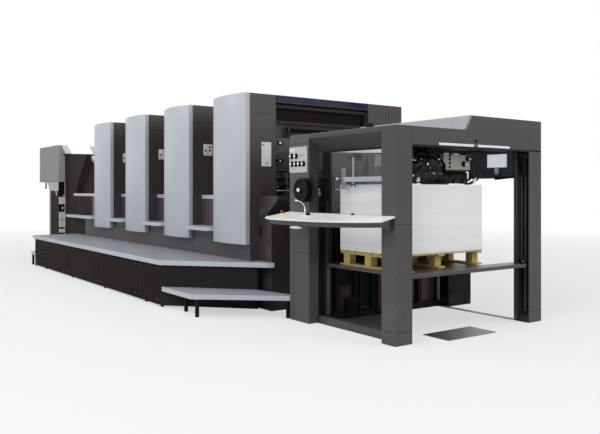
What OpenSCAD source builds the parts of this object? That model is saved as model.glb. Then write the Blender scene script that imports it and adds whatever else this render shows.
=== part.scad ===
// Four-unit sheet-fed offset printing press with its pile feeder and delivery
// Origin on the floor: middle of the four units along X, sheet centreline along Y
// +X towards the feeder, +Y towards the drive side, +Z up, millimetres

/* [Printing units] */
// Distance from one unit to the next
unit_pitch = 1240; // [1100:10:1500]
// Length of a tower along the press
tower_len = 667; // [560:1:760]
// Height of the towers above the floor
tower_h = 2152; // [2000:1:2400]
// Operator wall, distance from the sheet centreline
operator_wall = 752; // [700:1:840]
// Drive wall, distance from the sheet centreline
drive_wall = 1318; // [1200:1:1450]
// Thickness of the operator side frame with its covers
operator_frame_t = 310; // [220:1:400]
// Thickness of the drive side housing
drive_frame_t = 516; // [400:1:600]
// Height of the bed that carries the units
bed_h = 120; // [80:1:200]
// Inset of the bed behind the unit walls
bed_inset = 60; // [20:1:120]
// Height of the continuous drive housing between the towers
drive_housing_h = 1430; // [1250:1:1700]
// Gap between the bases of neighbouring units
joint_gap = 4; // [2:1:10]

/* [Unit covers] */
// Lower edge of the curved covers above the floor
cover_bottom = 640; // [580:1:720]
// Depth of a cover at its two upright edges
cover_edge = 50; // [30:1:80]
// How far a cover bulges past its edges
cover_bulge = 52; // [20:1:90]

/* [Tower fittings] */
// Depth of the recess in a tower between its side frames
recess_d = 90; // [40:1:160]
// Height of the tinted guard strip under the tower top
tinted_h = 64; // [40:1:100]
// Thickness of the tinted guard
tinted_t = 12; // [6:1:20]
// Drop of the ventilation grille below the tower top
grille_drop = 98; // [84:1:140]
// Height of the upper grille field
grille_h = 185; // [120:1:220]
// Height of the lower grille field
lower_grille_h = 100; // [60:1:140]
// Setback of the lower grille field from the operator frame
lower_grille_in = 170; // [80:1:300]
// Bars in a grille field
grille_bars = 9; // [5:1:14]
// Height of the roller guard across the tower recess
guard_h = 330; // [240:1:420]
// Width of a switch panel
switch_w = 112; // [80:1:150]
// Height of the switch panel on the first unit
switch_h = 244; // [180:1:300]
// Lower edge of the switch panel on the first unit
switch_bottom = 1422; // [1350:1:1500]
// Height of the switch panels on the other units
upper_switch_h = 130; // [90:1:160]
// Lower edge of the switch panels on the other units
upper_switch_bottom = 1580; // [1450:1:1640]
// Distance of a switch panel from the edge of the operator frame
switch_in = 62; // [30:1:100]
// Thickness of a switch panel
switch_t = 8; // [4:1:15]

/* [Treads] */
// Top of the lower treads
lower_tread_h = 785; // [740:1:820]
// Thickness of the lower treads
tread_t = 38; // [25:1:60]
// How far a lower tread stands out from the wall
tread_out = 135; // [90:1:180]
// Corner radius of a lower tread on its feeder end
tread_corner_near = 60; // [30:1:80]
// Corner radius of a lower tread on its delivery end
tread_corner_far = 100; // [60:1:130]
// Top of the walkway plates between the towers
walkway_h = 1126; // [1050:1:1180]
// Thickness of the walkway plates
walkway_t = 42; // [25:1:60]
// Setback of the walkway edge behind the operator wall
walkway_setback = 110; // [60:1:160]

/* [Gallery] */
// Top of the gallery deck
deck_h = 478; // [400:1:540]
// Thickness of the deck edge
deck_t = 48; // [30:1:70]
// Depth of the gallery in front of the operator wall
gallery_d = 705; // [600:1:800]
// Length of the gallery past the units, on the delivery end
gallery_past = 350; // [200:10:500]
// Start of the slanted deck edge, back from the feeder end of the units
slant_start = 590; // [450:1:700]
// End of the deck past the feeder end of the units
slant_end = 248; // [180:1:320]
// How far the end of the deck stands out from the walkway edge
deck_end_out = 58; // [30:1:90]
// How far the deck carries on along the infeed section past its slanted edge
deck_lip = 27; // [10:1:60]
// Thickness of the front panels
panel_t = 20; // [10:1:40]
// Inset of the front panels behind the deck edge
panel_inset = 30; // [15:1:60]
// Gap between the front panels and the floor
panel_gap = 22; // [10:1:40]
// Foot diameter under the gallery
foot_dia = 36; // [24:1:50]
// Distance of a foot behind the feeder end of its unit
foot_back = 1057; // [900:1:1150]
// Top of the lower steps at the ends of the gallery
step_h = 212; // [190:1:260]
// Thickness of the lower steps
step_t = 45; // [25:1:60]
// Length of the step at the feeder end
step_len = 638; // [560:1:700]
// Length of the step at the delivery end
end_step_len = 270; // [220:1:330]
// Width of the step at the delivery end
end_step_w = 560; // [450:1:650]
// Side of the square legs of the steps
step_leg = 30; // [20:1:40]

/* [Feeder frame] */
// Gap between the units and the feeder
feeder_gap = 659; // [600:1:800]
// Length of the feeder frame
feeder_len = 1395; // [1300:1:1600]
// Operator face of the feeder, distance from the sheet centreline
feeder_operator = 729; // [700:1:780]
// Drive face of the feeder, distance from the sheet centreline
feeder_drive = 1074; // [1000:1:1200]
// Length of the two columns beside the sheet infeed
far_column_x = 293; // [200:1:330]
// Depth of the two columns beside the sheet infeed
far_column_y = 113; // [90:1:140]
// Length of the two end columns
near_column_x = 157; // [120:1:200]
// Depth of the two end columns
near_column_y = 180; // [140:1:220]
// Height of the frame on the operator side
frame_h = 1680; // [1600:1:1750]
// Height of the drive side cover
cover_h = 1802; // [1760:1:1880]
// Clear height under the beams
beam_bottom = 1524; // [1440:1:1560]
// Start of the slanted step on the end beam, past the centreline
step_start = 46; // [0:1:120]
// Run of the slanted step
step_run = 70; // [40:1:120]
// Depth of the chain channel in the drive end column
channel_d = 60; // [30:1:90]
// Height of the rail frame behind the pile
back_frame_h = 960; // [860:1:1000]
// Width of a post behind the pile
back_post_w = 50; // [30:1:70]
// Depth of the cable cabinet past the drive face of the feeder
cabinet_d = 224; // [160:1:260]
// Height of the cable cabinet on the drive side
cabinet_h = 430; // [350:1:520]
// Height of the floor sills
sill_h = 62; // [40:1:90]
// Depth of the floor sills
sill_d = 62; // [40:1:90]

// Distance of the guard window from the infeed columns
window_in = 180; // [100:1:240]

/* [Sheet pile] */
// Sheet length along the press
sheet_len = 720; // [640:1:740]
// Sheet width across the press
sheet_w = 1020; // [900:1:1040]
// Height of the pile top above the floor
pile_top = 1230; // [1150:1:1250]
// Pallet top above the floor
pallet_top = 661; // [600:1:760]
// Height of the pallet
pallet_h = 133; // [110:1:150]
// Thickness of the pile plate
plate_t = 32; // [24:1:45]
// Distance of the pile from the feeder end face
pile_back = 208; // [190:1:260]
// Side of the guide rails beside the pile
rail_side = 36; // [26:1:50]
// Running gap of the pile plate on its rails
rail_gap = 0.5; // [0.3:0.1:2]
// Inset of the pallet blocks behind the ends of the boards
pallet_in = 44; // [0:1:80]

/* [Console] */
// Height of the shelf at the column faces
shelf_h = 987; // [920:1:1040]
// Slope of the shelf towards the operator in degrees
shelf_slope = 10.2; // [4:0.1:16]
// Greatest depth of the shelf
shelf_depth_far = 292; // [240:1:340]
// Depth of the shelf at its pile end
shelf_depth_near = 174; // [140:1:230]
// Size of the cut corner at the infeed end
shelf_corner = 28; // [15:1:45]
// Overhang of the shelf past the infeed end of the feeder
shelf_lead = 39; // [10:1:60]
// Thickness of the shelf top
shelf_t = 14; // [10:1:24]
// Overhang of the shelf past the end face of the feeder
shelf_over = 31; // [10:1:60]
// Height of the apron under the shelf
apron_h = 42; // [25:1:70]
// Inset of the apron behind the edge of the shelf
apron_inset = 36; // [20:1:60]
// Drop of the bracket that ends the apron at the pile
bracket_drop = 54; // [20:1:70]
// Height of the knob panel's lower edge above the floor
knob_panel_z = 1340; // [1300:1:1380]
// Height of the knob panel
knob_panel_h = 231; // [180:1:240]
// Diameter of a knob on the panel
knob_dia = 44; // [30:1:50]

/* [Handwheel] */
// Outside diameter of the handwheel
wheel_dia = 208; // [160:1:240]
// Rim depth of the handwheel
wheel_depth = 42; // [30:1:60]
// Shaft diameter of the handwheel
shaft_dia = 24; // [16:1:36]
// Radial running clearance on the shaft
shaft_clear = 0.08; // [0.05:0.01:0.1]
// Height of the handwheel axis
wheel_h = 1184; // [1140:1:1230]
// Distance of the handwheel axis from the column's infeed edge
wheel_in = 236; // [160:1:250]

/* [Infeed] */
// Length of the infeed base on the floor
infeed_len = 222; // [160:1:280]
// Length of the infeed top
infeed_top_len = 327; // [280:1:380]
// Depth of the notch under the infeed top
infeed_notch = 74; // [40:1:110]
// Height of the notch's lower edge above the floor
infeed_notch_h = 850; // [780:1:900]
// Rise of the slanted roof of the notch
infeed_notch_rise = 97; // [60:1:130]
// Height of the infeed rollers above the infeed top
infeed_roller_up = 58; // [40:1:80]
// Diameter of the infeed rollers
infeed_roller_dia = 20; // [12:1:30]

/* [Suction head] */
// Width of the head across the pile
head_w = 460; // [380:1:500]
// Height of the head block
head_h = 150; // [120:1:170]
// Height of the head block above the pile
head_up = 60; // [40:1:80]
// Width of the control box
box_w = 333; // [260:1:360]
// Height of the control box
box_h = 128; // [100:1:150]
// Outside diameter of the air hoses
hose_dia = 20; // [14:1:24]
// Radius of the large hose loop beside the control box
loop_r = 105; // [80:1:125]

/* [Delivery] */
// Length of the low base after the last unit
link_len = 617; // [500:1:700]
// Distance from the units to the delivery side frames
delivery_run = 1397; // [1300:1:1500]
// Length of the delivery side frames
side_frame_len = 553; // [480:1:700]
// Overhang of the delivery hood past the side frames
hood_over = 630; // [480:1:700]
// Thickness of the delivery side frames
side_frame_t = 110; // [80:1:140]
// Size of the bracket between a side frame and the hood
hood_bracket = 110; // [60:1:150]
// Depth of the recess in the housing wall beside the units
wall_recess = 100; // [60:1:140]
// Length of the housing wall in front of the recess, at the tread
wall_low_len = 430; // [300:1:600]
// Length of the housing wall in front of the recess, at its top
wall_high_len = 1137; // [900:1:1250]
// Top of the delivery hood
hood_top = 1965; // [1900:1:2050]
// Run of the slanted screens over the end of the housing
cheek_len = 235; // [150:1:300]
// Operator end of the wide screen, from the centreline
screen_y = -215; // [-300:1:-150]
// Underside of the delivery hood
hood_bottom = 1325; // [1250:1:1400]
// Top of the sloping housing at the hood
housing_top_far = 1818; // [1760:1:1860]
// Top of the sloping housing at the units
housing_top_near = 1750; // [1700:1:1800]
// Drive side of the delivery, distance from the sheet centreline
delivery_drive = 1060; // [900:1:1200]

/* [Hidden] */
// Gap at a seat on a slanted face
seat_gap = 0.3;
$fn = 64;

// Ends of the row of units, and of the feeder, along X
unit_count = 4;
units_half = unit_count * unit_pitch / 2;
feeder_x0 = units_half + feeder_gap;
feeder_x1 = feeder_x0 + feeder_len;
tower_gap = unit_pitch - tower_len;
inner_operator = -operator_wall + operator_frame_t;
inner_drive = drive_wall - drive_frame_t;
walkway_front = -operator_wall + walkway_setback;

// Planes inside the feeder
far_x = feeder_x0 + far_column_x;
grille_top = tower_h - grille_drop;
lower_grille_top = grille_top - grille_h - 20;
near_x = feeder_x1 - near_column_x;
far_in_operator = -feeder_operator + far_column_y;
far_in_drive = feeder_drive - far_column_y;
near_in_operator = -feeder_operator + near_column_y;
near_in_drive = feeder_drive - near_column_y;
pile_x1 = feeder_x1 - pile_back;
pile_x0 = pile_x1 - sheet_len;
plate_z = pallet_top - pallet_h - plate_t;
box_y = 45;
head_y1 = 40;
hose_x = pile_x1 - 70;

// Planes of the delivery
housing_front = walkway_front;
recess_front = housing_front + wall_recess;
link_x = -units_half - link_len;
frame_x1 = -units_half - delivery_run;
frame_x0 = frame_x1 - side_frame_len;
hood_x0 = frame_x0 - hood_over;
function housing_top(x) =
  housing_top_far + (housing_top_near - housing_top_far) * (x - frame_x1) / delivery_run;

// Colours
charcoal = [0.25, 0.24, 0.25];
umber = [0.2, 0.18, 0.18];
silver_blue = [0.68, 0.71, 0.75];
plate_grey = [0.62, 0.63, 0.67];
pale = [0.88, 0.87, 0.85];
near_black = [0.05, 0.05, 0.05];

// Box from a low and a high value on each axis
module box(x, y, z) {
  translate([x[0], y[0], z[0]])
    cube([x[1] - x[0], y[1] - y[0], z[1] - z[0]]);
}

// Prism drawn in the XZ plane and extruded along Y
module side_prism(points, y) {
  translate([0, y[1], 0])
    rotate([90, 0, 0])
      linear_extrude(y[1] - y[0])
        polygon(points);
}

// Prism drawn in the YZ plane and extruded along X
module end_prism(points, x) {
  translate([x[0], 0, 0])
    rotate([90, 0, 90])
      linear_extrude(x[1] - x[0])
        polygon(points);
}

// Feeder end of unit number i, counted from the feeder
function unit_end(i) = units_half - (i - 1) * unit_pitch;

module bed() {
  color(umber)
    box([-units_half, units_half], [-operator_wall + bed_inset, drive_wall - bed_inset], [0, bed_h]);
}

// Lower body of a unit: the step of its operator side carries the walkway
module unit_base(i) {
  x1 = unit_end(i);
  x0 = x1 - unit_pitch + joint_gap;
  low = lower_tread_h - tread_t;
  high = walkway_h - walkway_t;
  color(umber)
    end_prism([
      [-operator_wall, bed_h], [drive_wall, bed_h], [drive_wall, drive_housing_h],
      [inner_drive, drive_housing_h], [inner_drive, high],
      [walkway_front, high], [walkway_front, low], [-operator_wall, low]
    ], [x0, x1 - tower_len]);
  color(umber)
    box([x1 - tower_len, x1], [-operator_wall, drive_wall], [bed_h, high]);
}

// Tower with a recess between its side frames on both ends, and a seat for the tinted guard
module unit_tower(i) {
  x1 = unit_end(i);
  x0 = x1 - tower_len;
  z0 = walkway_h - walkway_t;
  z1 = tower_h - tinted_h;
  color(umber)
    difference() {
      box([x0, x1], [-operator_wall, drive_wall], [z0, tower_h]);
      for (x = [[x0 - 1, x0 + recess_d], [x1 - recess_d, x1 + 1]])
        box(x, [inner_operator, inner_drive], [z0 - 1, z1 - tinted_t]);
      box([x1 - tinted_t, x1 + 1], [inner_operator, inner_drive], [z1, tower_h + 1]);
    }
}

// Cover of a tower: flat back, upright edges and a bulged face
module unit_cover(i) {
  x1 = unit_end(i);
  r = tower_len * tower_len / 8 / cover_bulge + cover_bulge / 2;
  color(silver_blue)
    intersection() {
      box(
        [x1 - tower_len, x1], [-operator_wall - cover_edge - cover_bulge, -operator_wall],
        [cover_bottom, tower_h]
      );
      translate([x1 - tower_len / 2, -operator_wall - cover_edge - cover_bulge + r, cover_bottom])
        cylinder(r = r, h = tower_h - cover_bottom, $fn = 160);
    }
}

// One field of a grille: a frame filled with level bars
module grille_field(x, y, z, bars) {
  rim = 10;
  pitch = (z[1] - z[0] - rim) / bars;
  difference() {
    box(x, y, z);
    box([x[0] + rim, x[1] + 1], [y[0] + rim, y[1] - rim], [z[0] + rim, z[1] - rim]);
  }
  for (k = [1 : bars - 1])
    box([x[0] + rim, x[1]], [y[0] + rim, y[1] - rim], [z[0] + k * pitch, z[0] + k * pitch + pitch / 2]);
}

module tower_grilles() {
  color(near_black)
    for (i = [1 : unit_count]) {
      x = [unit_end(i) - recess_d, unit_end(i) - recess_d / 3];
      grille_field(x, [inner_operator, inner_drive], [grille_top - grille_h, grille_top], grille_bars);
      grille_field(x, [inner_operator + lower_grille_in, inner_drive],
        [lower_grille_top - lower_grille_h, lower_grille_top], ceil(grille_bars / 2));
    }
}

// Rounded guard across the recess, below the grille
module roller_guards() {
  z1 = lower_grille_top - lower_grille_h - 10;
  color(charcoal)
    for (i = [1 : unit_count])
      side_prism([
        [unit_end(i) - recess_d, z1 - guard_h], [unit_end(i) - recess_d / 2, z1 - guard_h],
        [unit_end(i) - 8, z1 - guard_h / 2], [unit_end(i) - 8, z1 - 30],
        [unit_end(i) - recess_d, z1]
      ], [inner_operator, inner_drive]);
}

module tinted_guards() {
  color([0.15, 0.18, 0.32, 0.8])
    for (i = [1 : unit_count])
      box([unit_end(i) - tinted_t, unit_end(i)], [inner_operator, inner_drive],
        [tower_h - tinted_h, tower_h]);
}

module switch_panels() {
  y1 = inner_operator - switch_in;
  color(pale) {
    box([units_half, units_half + switch_t], [y1 - switch_w, y1], [switch_bottom, switch_bottom + switch_h]);
    for (i = [2 : unit_count])
      box([unit_end(i), unit_end(i) + switch_t], [y1 - switch_w, y1],
        [upper_switch_bottom, upper_switch_bottom + upper_switch_h]);
  }
}

// Tread plan with rounded outer corners
module tread_plan(x0, x1) {
  y1 = -operator_wall;
  y0 = y1 - tread_out;
  difference() {
    union() {
      translate([x0 + tread_corner_far, y0])
        square([x1 - x0 - tread_corner_far - tread_corner_near, tread_out]);
      translate([x0, y0 + tread_corner_far])
        square([x1 - x0, tread_out - tread_corner_far]);
      translate([x0 + tread_corner_far, y0 + tread_corner_far])
        circle(tread_corner_far);
      translate([x1 - tread_corner_near, y0 + tread_corner_near])
        circle(tread_corner_near);
      translate([x1 - tread_corner_near, y0 + tread_corner_near])
        square([tread_corner_near, tread_out - tread_corner_near]);
    }
    translate([x0 - 1, y1])
      square([x1 - x0 + 2, 2 * tread_out]);
  }
}

module lower_treads() {
  color(plate_grey)
    translate([0, 0, lower_tread_h - tread_t])
      linear_extrude(tread_t) {
        for (i = [1 : unit_count - 1])
          tread_plan(unit_end(i) - unit_pitch + joint_gap, unit_end(i) - tower_len);
        tread_plan(link_x, unit_end(unit_count) - tower_len);
      }
  color(plate_grey)
    for (i = [1 : unit_count])
      box([unit_end(i) - unit_pitch + joint_gap, unit_end(i) - tower_len],
        [-operator_wall, walkway_front], [lower_tread_h - tread_t, lower_tread_h]);
}

module walkway_plates() {
  z = [walkway_h - walkway_t, walkway_h];
  color(plate_grey)
    for (i = [1 : unit_count])
      box([unit_end(i) - unit_pitch + joint_gap, unit_end(i) - tower_len], [walkway_front, inner_drive], z);
  color(plate_grey)
    box([frame_x1 + wall_low_len + walkway_t + 5, -units_half], [walkway_front, recess_front], z);
}

// Point on the slanted deck edge: share of its length, and distance inwards
deck_front = -operator_wall - gallery_d;
slant_a = [units_half - slant_start, deck_front];
slant_b = [units_half + slant_end, walkway_front - deck_end_out];
slant_dir = (slant_b - slant_a) / norm(slant_b - slant_a);
function slant(share, inwards) =
  slant_a + (slant_b - slant_a) * share + inwards * [-slant_dir[1], slant_dir[0]];

// Deck in front of the units, with a slanted edge towards the feeder
module gallery_deck() {
  color(plate_grey)
    translate([0, 0, deck_h - deck_t])
      linear_extrude(deck_t)
        polygon([
          [-units_half - gallery_past, -operator_wall], [-units_half - gallery_past, deck_front],
          slant(0, 0), slant(1, 0), [slant_b[0] + deck_lip, walkway_front],
          [units_half, walkway_front], [units_half, -operator_wall]
        ]);
}

// Upright panels under the deck edge, one closed run and the slanted one
module gallery_panels() {
  x0 = -units_half - gallery_past + panel_inset;
  x1 = slant_a[0] - panel_inset;
  y0 = deck_front + panel_inset;
  z = [panel_gap, deck_h - deck_t];
  color(umber) {
    box([x0, x1], [y0, y0 + panel_t], z);
    box([x0, x0 + panel_t], [y0 + panel_t, -operator_wall], z);
    translate([0, 0, z[0]])
      linear_extrude(z[1] - z[0])
        polygon([
          [x1, y0], slant(0, panel_inset), slant(0.9, panel_inset),
          slant(0.9, panel_inset + panel_t), slant(0, panel_inset + panel_t), [x1, y0 + panel_t]
        ]);
  }
}

module gallery_feet() {
  y = deck_front + panel_inset + panel_t + foot_dia / 2;
  color(near_black)
    for (x = [for (i = [1 : unit_count]) unit_end(i) - foot_back, slant_a[0] - panel_inset - foot_dia])
      translate([x, y, 0])
        cylinder(d = foot_dia, h = deck_h - deck_t);
}

// Low step along the slanted deck edge, on square legs
module feeder_step() {
  a = slant(0.02, panel_inset - seat_gap);
  b = slant(0.88, panel_inset - seat_gap);
  x1 = feeder_x0 - 1;
  y0 = deck_front + panel_inset;
  z0 = step_h - step_t;
  color(plate_grey) {
    translate([0, 0, z0])
      linear_extrude(step_t)
        polygon([
          a, [slant_a[0], y0], [slant_a[0] + step_len, y0],
          [x1, -feeder_operator], [x1, walkway_front - 10], b
        ]);
    for (p = [
      [slant_a[0] + step_len / 2, y0 + 90], [slant_a[0] + step_len + 10, y0 + 40],
      [x1 - 2 * step_leg, -feeder_operator]
    ])
      box([p[0], p[0] + step_leg], [p[1], p[1] + step_leg], [0, z0]);
  }
}

module delivery_step() {
  x1 = -units_half - gallery_past + panel_inset;
  y0 = deck_front + 40;
  color(plate_grey) {
    box([x1 - end_step_len, x1], [y0, y0 + end_step_w], [step_h - step_t, step_h]);
    for (x = [x1 - end_step_len + 10, x1 - 80])
      for (y = [y0 + 10, y0 + end_step_w - 50])
        box([x, x + step_leg], [y, y + step_leg], [0, step_h - step_t]);
  }
}

// Register section between the first unit and the feeder, with two rollers on cheeks
module infeed_housing() {
  x0 = units_half;
  x1 = x0 + infeed_top_len;
  z1 = walkway_h;
  cheek = 12;
  color(umber) {
    side_prism([
      [x0, 0], [x0 + infeed_len, 0], [x0 + infeed_len, infeed_notch_h],
      [x0 + infeed_len - infeed_notch, infeed_notch_h + infeed_notch_rise],
      [x1, z1 - 40], [x1, z1], [x0, z1]
    ], [walkway_front, inner_drive]);
    for (y = [inner_operator, inner_drive - cheek])
      box([x1 - 90, x1 - 10], [y, y + cheek], [z1, z1 + infeed_roller_up + infeed_roller_dia]);
    for (p = [[x1 - 30, infeed_roller_up], [x1 - 70, infeed_roller_up / 2]])
      translate([p[0], inner_operator, z1 + p[1]])
        rotate([-90, 0, 0])
          cylinder(d = infeed_roller_dia, h = inner_drive - inner_operator);
  }
}

// Sloping feed table with its belts' side rails
module feed_table() {
  x0 = units_half + infeed_top_len;
  x1 = pile_x0 - 40;
  z0 = walkway_h - 30;
  z1 = pile_top - 40;
  color([0.7, 0.7, 0.7])
    side_prism([
      [x0, z0 - 30], [x1, z1 - 30], [x1, z1], [x0, z0]
    ], [-sheet_w / 2 + 20, sheet_w / 2 - 20]);
}

module feeder_column_near_operator() {
  color(charcoal)
    box([near_x, feeder_x1], [-feeder_operator, near_in_operator], [0, frame_h]);
}

module feeder_column_near_drive() {
  color(charcoal)
    difference() {
      box([near_x, feeder_x1], [near_in_drive, feeder_drive], [0, beam_bottom]);
      box([near_x + 20 + rail_side + 4, feeder_x1 - 14], [near_in_drive - 1, near_in_drive + channel_d],
        [sill_h, beam_bottom - sill_h]);
    }
}

module feeder_column_far_operator() {
  color(charcoal)
    box([feeder_x0, far_x], [-feeder_operator, far_in_operator], [0, frame_h]);
}

module feeder_column_far_drive() {
  color(charcoal)
    box([feeder_x0, far_x], [far_in_drive, feeder_drive], [0, beam_bottom]);
}

// Beam with a face that slopes in towards its lower edge
module feeder_operator_beam() {
  lip = 40;
  color(charcoal)
    end_prism([
      [far_in_operator, beam_bottom], [near_in_operator, beam_bottom], [near_in_operator, frame_h],
      [-feeder_operator, frame_h], [-feeder_operator, frame_h - lip]
    ], [far_x, near_x]);
}

// Beam over the pile entry, stepped up to the drive side
module feeder_end_beam() {
  color(charcoal)
    end_prism([
      [near_in_operator, beam_bottom], [feeder_drive, beam_bottom], [feeder_drive, cover_h],
      [step_start + step_run, cover_h], [step_start, frame_h], [near_in_operator, frame_h]
    ], [near_x, feeder_x1]);
}

module feeder_drive_beam() {
  color(charcoal)
    box([feeder_x0, near_x], [near_in_drive, feeder_drive], [beam_bottom, frame_h]);
}

// Roof: low sheet on the operator half, raised cover on the drive half
module feeder_roof() {
  sheet_t = 14;
  color([0.6, 0.61, 0.62]) {
    end_prism([
      [near_in_operator, frame_h - sheet_t], [near_in_drive, frame_h - sheet_t], [near_in_drive, frame_h],
      [feeder_drive, frame_h], [feeder_drive, cover_h], [step_start + step_run, cover_h],
      [step_start, frame_h], [near_in_operator, frame_h]
    ], [feeder_x0, near_x]);
    box([feeder_x0, far_x], [far_in_operator, near_in_operator], [frame_h - sheet_t, frame_h]);
  }
}

module feeder_sills() {
  color(charcoal)
    for (y = [far_in_operator, far_in_drive - sill_d])
      box([far_x, near_x], [y, y + sill_d], [0, sill_h]);
}

// Posts and panels behind the pile
module feeder_back_frame() {
  x = [far_x - 60, far_x];
  z1 = back_frame_h - 60;
  color(umber) {
    box(x, [far_in_operator, far_in_drive], [0, sill_h]);
    box(x, [far_in_operator, far_in_drive], [z1, back_frame_h]);
    for (y = [far_in_operator, -425, -195, 15, 330, 625, far_in_drive - back_post_w])
      box(x, [y, y + back_post_w], [sill_h, z1]);
    box([x[0] + 15, x[0] + 30], [-375, -195], [sill_h + 240, z1]);
    box([x[0] + 15, x[0] + 30], [-145, 15], [sill_h + 40, z1]);
  }
}

// Upright guide rails on the columns
module lift_rails() {
  color([0.35, 0.34, 0.34]) {
    for (y = [near_in_operator, near_in_drive - rail_side])
      box([near_x + 20, near_x + 20 + rail_side], [y, y + rail_side], [20, beam_bottom - 4]);
    for (y = [far_in_operator + sill_d, far_in_drive - sill_d - rail_side])
      box([far_x, far_x + rail_side], [y, y + rail_side], [sill_h + 4, beam_bottom - 4]);
  }
}

// Pile plate with a notch round each guide rail
module pile_plate() {
  z = [plate_z, plate_z + plate_t];
  y0 = near_in_operator + 8;
  y1 = near_in_drive - 8;
  color(charcoal)
    difference() {
      union() {
        box([far_x + 12, pile_x1 + 50], [-sheet_w / 2 - 20, sheet_w / 2 - 60], z);
        box([near_x - 20, near_x + rail_side + 100], [y0, y1], z);
        box([far_x + 12, far_x + rail_side + 40], [y0, y1], z);
      }
      for (y = [near_in_operator, near_in_drive - rail_side])
        box([near_x + 20 - rail_gap, near_x + 20 + rail_side + rail_gap],
          [y - rail_gap, y + rail_side + rail_gap], [z[0] - 1, z[1] + 1]);
      for (y = [far_in_operator + sill_d, far_in_drive - sill_d - rail_side])
        box([far_x - rail_gap, far_x + rail_side + rail_gap],
          [y - rail_gap, y + rail_side + rail_gap], [z[0] - 1, z[1] + 1]);
    }
}

// Wooden pallet: two decks of boards on nine blocks
module pallet() {
  x = [pile_x0, pile_x1];
  y = [-sheet_w / 2, sheet_w / 2];
  z0 = plate_z + plate_t;
  board = 16;
  block = 78;
  in_x = pallet_in;
  color([0.8, 0.65, 0.3]) {
    box(x, y, [pallet_top - board, pallet_top]);
    for (yy = [y[0], -block / 2, y[1] - block]) {
      box(x, [yy, yy + block], [z0, z0 + board]);
      for (xx = [x[0] + in_x, (x[0] + x[1] - block) / 2, x[1] - in_x - block])
        box([xx, xx + block], [yy, yy + block], [z0 + board, pallet_top - board]);
    }
  }
}

module paper_pile() {
  color([0.93, 0.93, 0.93])
    box([pile_x0, pile_x1], [-sheet_w / 2, sheet_w / 2], [pallet_top, pile_top]);
}

// Head over the back edge of the pile, with its lifting feet
module suction_head() {
  x = [pile_x1 - 260, pile_x1 + 10];
  y0 = head_y1 - head_w;
  z0 = pile_top + head_up;
  foot = 30;
  post = 40;
  color(near_black) {
    box(x, [y0, head_y1], [z0, z0 + head_h]);
    box([x[0] + 60, x[1] - 60], [head_y1, box_y + box_w], [z0 - 28, pile_top + box_h - 4]);
    for (y = [y0 + 70, head_y1 - 2 * post])
      box([pile_x1 - 190, pile_x1 - 140], [y, y + post], [z0 + head_h, beam_bottom + 20]);
    for (k = [0 : 4])
      for (xx = [x[0] + 40, x[1] - 50])
        translate([xx, y0 + 30 + k * (head_w - 60) / 4, pile_top + 6])
          cylinder(d = foot, h = z0 - pile_top - 6);
    box([hose_x - 30, hose_x + 30], [box_y + box_w - 78, box_y + box_w], [z0 - 50, z0]);
  }
}

// Half a turn of hose in an upright plane across the press, opening towards angle 0
module hose_loop(x, y, z, r, turn) {
  translate([x, y, z])
    rotate([turn, 0, 0])
      rotate([90, 0, 90])
        rotate_extrude(angle = 180)
          translate([r, 0])
            circle(d = hose_dia);
}

module head_hoses() {
  y0 = head_y1 - head_w;
  z0 = pile_top + head_up;
  color(near_black) {
    for (y = [y0 + 80, y0 + 210, y0 + 340])
      for (dx = [-hose_dia - 4, hose_dia + 4])
        hose_loop(hose_x + dx, y, z0 + head_h, 50, 0);
    hose_loop(hose_x, box_y + box_w, z0 - 25 + loop_r, loop_r, -90);
  }
}

module head_crossbar() {
  color([0.5, 0.5, 0.52])
    box(
      [pile_x1 - 200, pile_x1 - 130], [near_in_operator, near_in_drive],
      [beam_bottom + 20, beam_bottom + 90]
    );
}

module head_control_box() {
  z0 = pile_top + box_h;
  color([0.5, 0.5, 0.5]) {
    box([pile_x1 - 120, pile_x1 - 20], [box_y, box_y + box_w], [z0, z0 + box_h]);
    box([pile_x1 - 130, pile_x1 - 120], [box_y + 100, box_y + 240], [z0 + 42, beam_bottom + 90]);
  }
}

module drive_inner_panel() {
  color([0.2, 0.22, 0.28])
    box([near_x - 520, near_x], [near_in_drive - 20, near_in_drive], [1290, beam_bottom + 16]);
}

module guard_window() {
  color([0.75, 0.8, 0.85, 0.35])
    box(
      [far_x + window_in, near_x], [far_in_operator - 12, far_in_operator - 4],
      [shelf_h - 20, beam_bottom]
    );
}

// Depth of the shelf along its curved edge, from its deepest place to its pile end
function shelf_depth(t) = shelf_depth_far + (shelf_depth_near - shelf_depth_far) * t * t * t;

// Plan of the shelf, seen square to its slope
module shelf_plan(inset) {
  x0 = feeder_x0 - shelf_lead + inset;
  x1 = feeder_x1 + shelf_over - inset;
  deep_x = x0 + 5 * shelf_corner;
  polygon(concat(
    [[feeder_x0 + inset, 0], [x0, inset - shelf_depth_far + 2 * shelf_corner],
      [x0 + shelf_corner, inset - shelf_depth_far + shelf_corner]],
    [for (t = [0 : 0.1 : 1]) [deep_x + t * (x1 - deep_x), inset - shelf_depth(t)]],
    [[feeder_x1 - inset, 0]]
  ));
}

module console_shelf() {
  color(pale)
    translate([0, -feeder_operator, shelf_h])
      rotate([shelf_slope, 0, 0])
        translate([0, -shelf_t * tan(shelf_slope) - seat_gap, -shelf_t])
          linear_extrude(shelf_t)
            shelf_plan(0);
}

module console_apron() {
  x1 = feeder_x1 - apron_inset;
  front = shelf_depth_near - apron_inset - 20;
  color(charcoal)
    translate([0, -feeder_operator, shelf_h])
      rotate([shelf_slope, 0, 0])
        translate([0, -16, -shelf_t]) {
          translate([0, 0, -apron_h])
            linear_extrude(apron_h)
              shelf_plan(apron_inset);
          end_prism([
            [-front, -apron_h + 1], [-front, -apron_h], [-6, -apron_h - bracket_drop], [0, -apron_h + 1]
          ], [x1 - 26, x1]);
        }
}

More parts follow.
